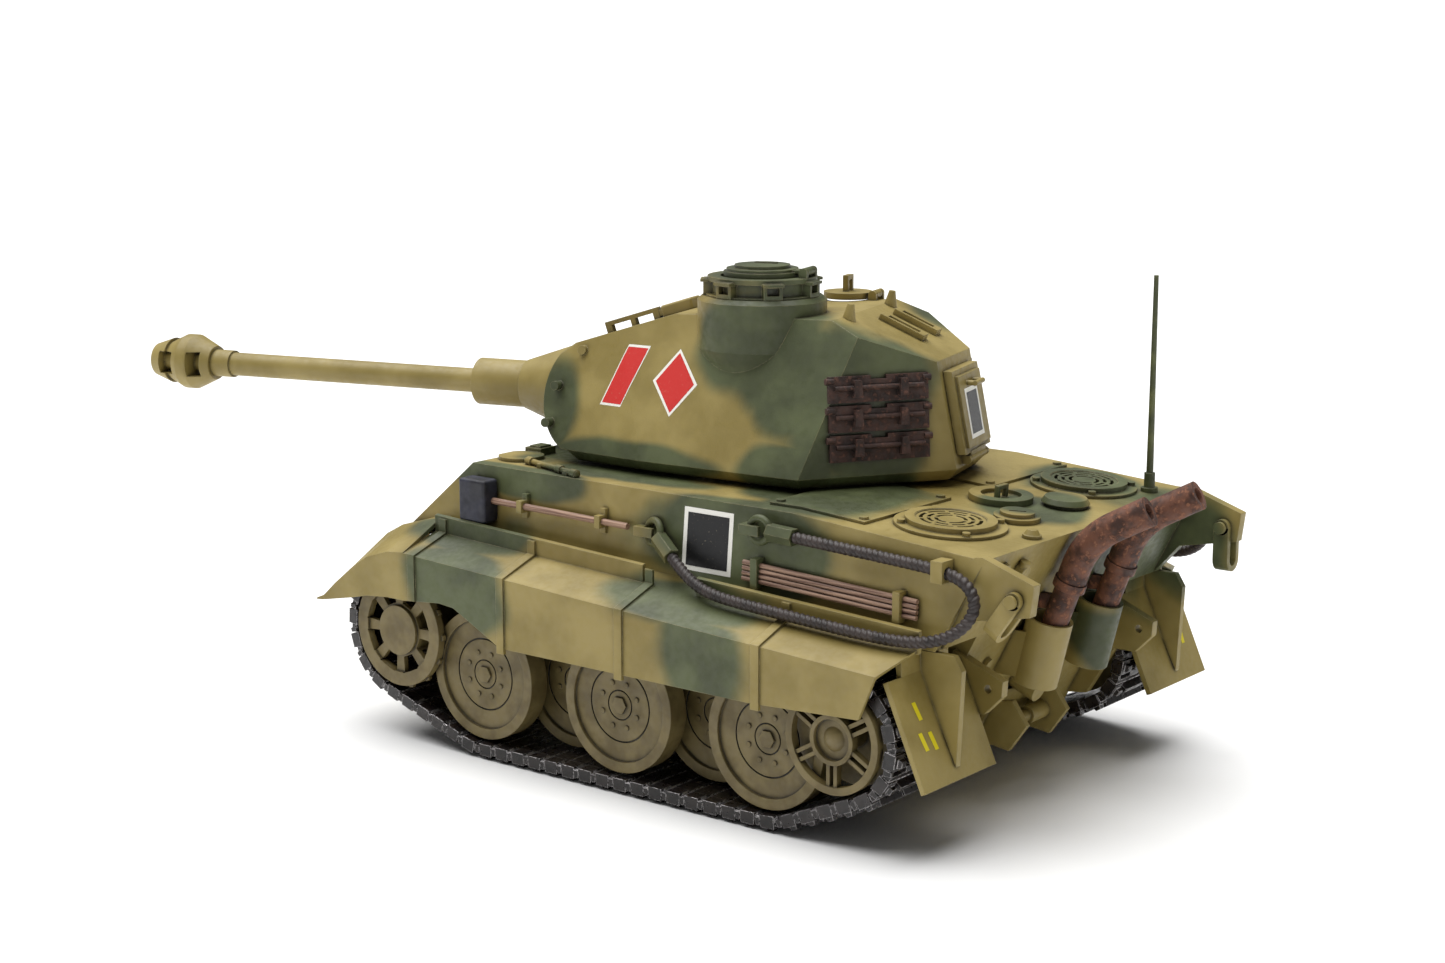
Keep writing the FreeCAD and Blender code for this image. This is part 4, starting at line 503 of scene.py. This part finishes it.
def smooth_route(points):
    """Points along the smooth curve that the route controls, in metres."""
    curve = bpy.data.curves.new("route", "CURVE")
    curve.dimensions = "3D"
    spline = curve.splines.new("NURBS")
    spline.points.add(len(points) - 1)
    for target, point in zip(spline.points, points):
        target.co = (*point, 1.0)
    spline.order_u = 3
    spline.use_endpoint_u = True
    spline.resolution_u = 24
    carrier = bpy.data.objects.new("route", curve)
    mesh = bpy.data.meshes.new_from_object(carrier)
    line = [vert.co.copy() for vert in mesh.vertices]
    bpy.data.objects.remove(carrier)
    bpy.data.meshes.remove(mesh)
    return line


def evenly(line, step):
    """The same line, with points one step apart."""
    out = [line[0]]
    need = step
    for a, b in zip(line, line[1:]):
        span = (b - a).length
        done = 0.0
        while span - done >= need:
            done += need
            out.append(a.lerp(b, done / span))
            need = step
        need -= span - done
    return out


def twisted_rope(name, points, radius, body, mat):
    """Mesh of strands laid round each other along the route."""
    step = LAY * MM / 12
    line = evenly(smooth_route(points), step)
    sides = 20
    bm = bmesh.new()
    rings = []
    across = (line[1] - line[0]).orthogonal().normalized()
    for i, spot in enumerate(line):
        ahead = (line[min(i + 1, len(line) - 1)] - line[max(i - 1, 0)]).normalized()
        across = (across - ahead * across.dot(ahead)).normalized()
        third = ahead.cross(across)
        phase = 2 * math.pi * i * step / (LAY * MM)
        ring = []
        for k in range(sides):
            a = 2 * math.pi * k / sides
            lobe = abs(math.cos((a * 1.0 - phase) * STRANDS / 2))
            r = radius * (0.66 + 0.34 * lobe ** 0.5)
            ring.append(bm.verts.new(spot + (across * math.cos(a) + third * math.sin(a)) * r))
        rings.append(ring)
    for first, second in zip(rings, rings[1:]):
        for k in range(sides):
            m = (k + 1) % sides
            bm.faces.new((first[k], first[m], second[m], second[k]))
    bm.faces.new(rings[0][::-1])
    bm.faces.new(rings[-1])
    return piece(name, mesh_from(bm, name, smooth=True), body, mat)


for side, sign in (("left", 1), ("right", -1)):
    route = [on_hull(x, sign * y, z) for x, y, z in CABLE_ROUTE]
    rope = twisted_rope(f"{side}_twisted_cable", route, ROPE_R * MM, "hull", FINISHES["rope"])
    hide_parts(f"{side}_tow_cable")


# ---- shackles and tool head ---------------------------------------------
SHACKLE_PLAY = 1.4       # half the gap between a shackle's arms
STRAP = 1.2
STRAP_HALF = 1.7


def rounded_shackle(side):
    """U of flat strap with a half-round foot, hanging on its pin and swung as its CAD strap is."""
    node = f"{side}_shackle"
    pin = Vector(JOINTS[f"{node}_hinge"]["pos_m"]) / MM
    low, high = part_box(node)
    reach = (Vector(((low.x + high.x) / 2, 0, low.z)) / MM - Vector((pin.x, 0, pin.z)))
    swing = 0.0 if abs(reach.x) < 0.5 else math.radians(35)
    foot = 7.0
    outer, inner = SHACKLE_PLAY + STRAP, SHACKLE_PLAY
    path = [(outer, 0.0)]
    turns = 14
    path += [(outer * math.cos(a), -foot - outer * math.sin(a)) for a in
             [math.pi * k / turns for k in range(turns + 1)]]
    path += [(-outer, 0.0), (-inner, 0.0)]
    path += [(-inner * math.cos(a), -foot - inner * math.sin(a)) for a in
             [math.pi * k / turns for k in range(turns + 1)]]
    path += [(inner, 0.0)]
    bm = bmesh.new()
    front = [bm.verts.new((-STRAP_HALF, y, z)) for y, z in path]
    back = [bm.verts.new((STRAP_HALF, y, z)) for y, z in path]
    count = len(path)
    bm.faces.new(front)
    bm.faces.new(back[::-1])
    for k in range(count):
        m = (k + 1) % count
        bm.faces.new((front[m], front[k], back[k], back[m]))
    for sign in (-1, 1):
        near, far = sorted((sign * inner, sign * outer))
        eye = bmesh.ops.create_circle(bm, cap_ends=True, radius=STRAP_HALF, segments=32)["verts"]
        bmesh.ops.rotate(bm, verts=eye, matrix=Matrix.Rotation(math.pi / 2, 3, "X"))
        bmesh.ops.translate(bm, verts=eye, vec=(0, near, 0))
        face = next(f for f in eye[0].link_faces)
        grown = bmesh.ops.extrude_face_region(bm, geom=[face])["geom"]
        bmesh.ops.translate(bm, verts=[v for v in grown if isinstance(v, bmesh.types.BMVert)],
                            vec=(0, far - near, 0))
    turn = Matrix.Rotation(-swing, 4, "Y")
    bmesh.ops.transform(bm, matrix=Matrix.Scale(MM, 4) @ Matrix.Translation(pin) @ turn, verts=bm.verts)
    strap = piece(f"{side}_rounded_shackle", mesh_from(bm, f"{side}_rounded_shackle"), f"{side}_shackle",
                  FINISHES["camouflage"])
    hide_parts(node)


for side in ("left", "right"):
    rounded_shackle(side)
head_edges = frame["nodes"]["sledge_head"].modifiers.new("ground_corners", "BEVEL")
head_edges.width = 0.5 * MM
head_edges.segments = 2


def hatch_side_plate():
    """Cheek under the loader's hatch: fills the turret wall where the hatch's round shaft leaves it."""
    shaft = on_turret(-9, -19, 0)
    bm = bmesh.new()
    for vert in frame["nodes"]["turret_shell"].data.vertices:
        away = Vector((vert.co.x - shaft.x, vert.co.y - shaft.y, 0)).length
        if away < 4.7 * MM and 84 * MM < vert.co.z < 93.4 * MM:
            bm.verts.new(vert.co)
    made = bmesh.ops.convex_hull(bm, input=bm.verts)
    spare = [item for item in made["geom_interior"] + made["geom_unused"] if isinstance(item, bmesh.types.BMVert)]
    bmesh.ops.delete(bm, geom=list(set(spare)), context="VERTS")
    piece("hatch_side_plate", mesh_from(bm, "hatch_side_plate"), "turret", FINISHES["camouflage"])


hatch_side_plate()


# ---- markings -----------------------------------------------------------
def skin_of(*nodes):
    """Nodes' surface, for laying decals on."""
    bm = bmesh.new()
    for node in nodes:
        bm.from_mesh(frame["nodes"][node].data)
    tree = BVHTree.FromBMesh(bm)
    bm.free()
    return tree


def decal(name, skin, origin, right, up, outline, lift_mm, body, mat, cell_mm=0.8):
    """Thin film cut to outline (millimetres along right and up) and pressed onto the skin."""
    bm = bmesh.new()
    bm.faces.new([bm.verts.new((u, v, 0)) for u, v in outline])
    for axis, values in ((0, [u for u, _ in outline]), (1, [v for _, v in outline])):
        normal = Vector((1, 0, 0)) if axis == 0 else Vector((0, 1, 0))
        cut = min(values) + cell_mm
        while cut < max(values):
            bmesh.ops.bisect_plane(bm, geom=bm.verts[:] + bm.edges[:] + bm.faces[:], dist=1e-5,
                                   plane_co=normal * cut, plane_no=normal)
            cut += cell_mm
    right, up = Vector(right).normalized(), Vector(up).normalized()
    outward = right.cross(up).normalized()
    for vert in bm.verts:
        start = origin + (right * vert.co.x + up * vert.co.y + outward * 12) * MM
        hit, normal, _, _ = skin.ray_cast(start, -outward)
        if hit is None:
            hit = start - outward * 12 * MM
        vert.co = hit + outward * lift_mm * MM
    mesh = mesh_from(bm, name, smooth=True)
    return piece(name, mesh, body, mat)


def bordered(name, skin, origin, right, up, outline, border, body, ink):
    """White-edged mark: the whole outline in white with a smaller coloured one over it."""
    cu = sum(u for u, _ in outline) / len(outline)
    cv = sum(v for _, v in outline) / len(outline)
    reach_u = max(abs(u - cu) for u, _ in outline)
    reach_v = max(abs(v - cv) for _, v in outline)
    inner = [(cu + (u - cu) * (1 - border / reach_u), cv + (v - cv) * (1 - border / reach_v)) for u, v in outline]
    decal(f"{name}_edge", skin, origin, right, up, outline, 0.03, body, WHITE_INK)
    decal(f"{name}_fill", skin, origin, right, up, inner, 0.07, body, ink)


turret_skin = skin_of("turret_shell")
to_rear = on_turret(-1, 0, 0) - TURRET_AXIS
to_left = on_turret(0, 1, 0) - TURRET_AXIS
upward = Vector((0, 0, 1))
BAR = [(-5.4, -6.4), (0.2, -6.4), (5.4, 6.4), (-0.2, 6.4)]
DIAMOND = [(-5.6, 0), (0, -6.8), (5.6, 0), (0, 6.8)]
PANEL = [(-6.3, -6.4), (6.3, -6.4), (6.3, 6.4), (-6.3, 6.4)]
bordered("turret_bar", turret_skin, on_turret(28.0, 40, 81), to_rear, upward, BAR, 0.5, "turret", RED_INK)
bordered("turret_diamond", turret_skin, on_turret(15.0, 40, 80.6), to_rear, upward, DIAMOND, 0.8, "turret", RED_INK)
bordered("turret_bar_right", turret_skin, on_turret(28.0, -40, 81), -to_rear, upward, BAR, 0.5, "turret", RED_INK)
bordered("turret_diamond_right", turret_skin, on_turret(15.0, -40, 80.6), -to_rear, upward, DIAMOND, 0.8,
         "turret", RED_INK)
hull_skin = skin_of("upper_hull")
bordered("hull_panel", hull_skin, on_hull(-14.8, 60, 52.9), (-1, 0, 0), upward, PANEL, 1.0, "hull", BLACK_INK)
bordered("hull_panel_right", hull_skin, on_hull(-14.8, -60, 52.9), (1, 0, 0), upward, PANEL, 1.0, "hull", BLACK_INK)
door_skin = skin_of("rear_door")
bordered("door_panel", door_skin, on_turret(-55, 0.5, 75.4), -to_left, upward,
         [(-4.2, -5.2), (4.2, -5.2), (4.2, 5.2), (-4.2, 5.2)], 0.9, "rear_door", BLACK_INK)


flap_skin = skin_of("rear_flaps")
down_flap = Vector((-8.9, 0, -20)).normalized()
STROKES = [((1.6, -3.0), (2.8, -3.0), (2.2, 0.6), (1.0, 0.6)), ((4.6, -3.4), (5.8, -3.4), (5.2, 0.2), (4.0, 0.2)),
           ((2.7, 2.8), (3.9, 2.8), (3.3, 6.4), (2.1, 6.4))]
for side, sign in (("left", 1), ("right", -1)):
    for k, stroke in enumerate(STROKES, 1):
        decal(f"{side}_flap_stroke_{k}", flap_skin, on_hull(-72.5, sign * 52.4, 25.0), (0, -1, 0), -down_flap,
              [(u * sign, v) for u, v in stroke][::sign], 0.05, "hull", YELLOW_INK)


# ---- stage, light and camera --------------------------------------------
def studio():
    """Wide pale floor whose far rim rises out of sight, under an even, fairly dim room."""
    bm = bmesh.new()
    flat, rim = [[bm.verts.new((x * reach, y * reach, rise)) for x, y in ((-1, -1), (1, -1), (1, 1), (-1, 1))]
                 for reach, rise in ((40.0, 0.0), (60.0, 1.5))]
    bm.faces.new(flat)
    for k in range(4):
        m = (k + 1) % 4
        bm.faces.new((flat[m], flat[k], rim[k], rim[m]))
    floor = bpy.data.objects.new("studio_floor", mesh_from(bm, "studio_floor"))
    bpy.context.scene.collection.objects.link(floor)
    mat, tree, surface = finish("pale_paper_floor", Roughness=0.9)
    fibres = grain(tree, place_in_mm(tree), 30.0)
    tree.links.new(blend(tree, fibres, linear("#F4F4F3"), linear("#F8F8F8")), surface.inputs["Base Color"])
    floor.data.materials.append(mat)
    world = bpy.data.worlds.new("studio_room")
    world.use_nodes = True
    world.node_tree.nodes["Background"].inputs["Color"].default_value = linear("#FFFFFF")
    world.node_tree.nodes["Background"].inputs["Strength"].default_value = 0.16
    bpy.context.scene.world = world


def overhead_softbox():
    """One very wide, soft light from above, leaning from the front of the tank."""
    light = bpy.data.lights.new("overhead_softbox", "SUN")
    light.energy = 4.6
    light.angle = math.radians(72)
    lamp = bpy.data.objects.new("overhead_softbox", light)
    bpy.context.scene.collection.objects.link(lamp)
    lamp.rotation_euler = Vector((-0.20, 0.0, -1)).to_track_quat("-Z", "Y").to_euler()


def camera():
    """Three-quarter view from behind the left side, a little above."""
    lens = bpy.data.cameras.new("camera")
    lens.lens = 61.37
    lens.sensor_width = 36.0
    lens.clip_start = 0.01
    eye = bpy.data.objects.new("camera", lens)
    bpy.context.scene.collection.objects.link(eye)
    eye.location = on_hull(-317.2, 420.92, 160.0)
    bearing, dip = math.radians(38.296), math.radians(11.08)
    look = Vector((math.sin(bearing) * math.cos(dip), -math.cos(bearing) * math.cos(dip), -math.sin(dip)))
    eye.rotation_euler = look.to_track_quat("-Z", "Y").to_euler()
    bpy.context.scene.camera = eye


studio()
overhead_softbox()
camera()
bpy.context.scene.view_settings.view_transform = "Standard"
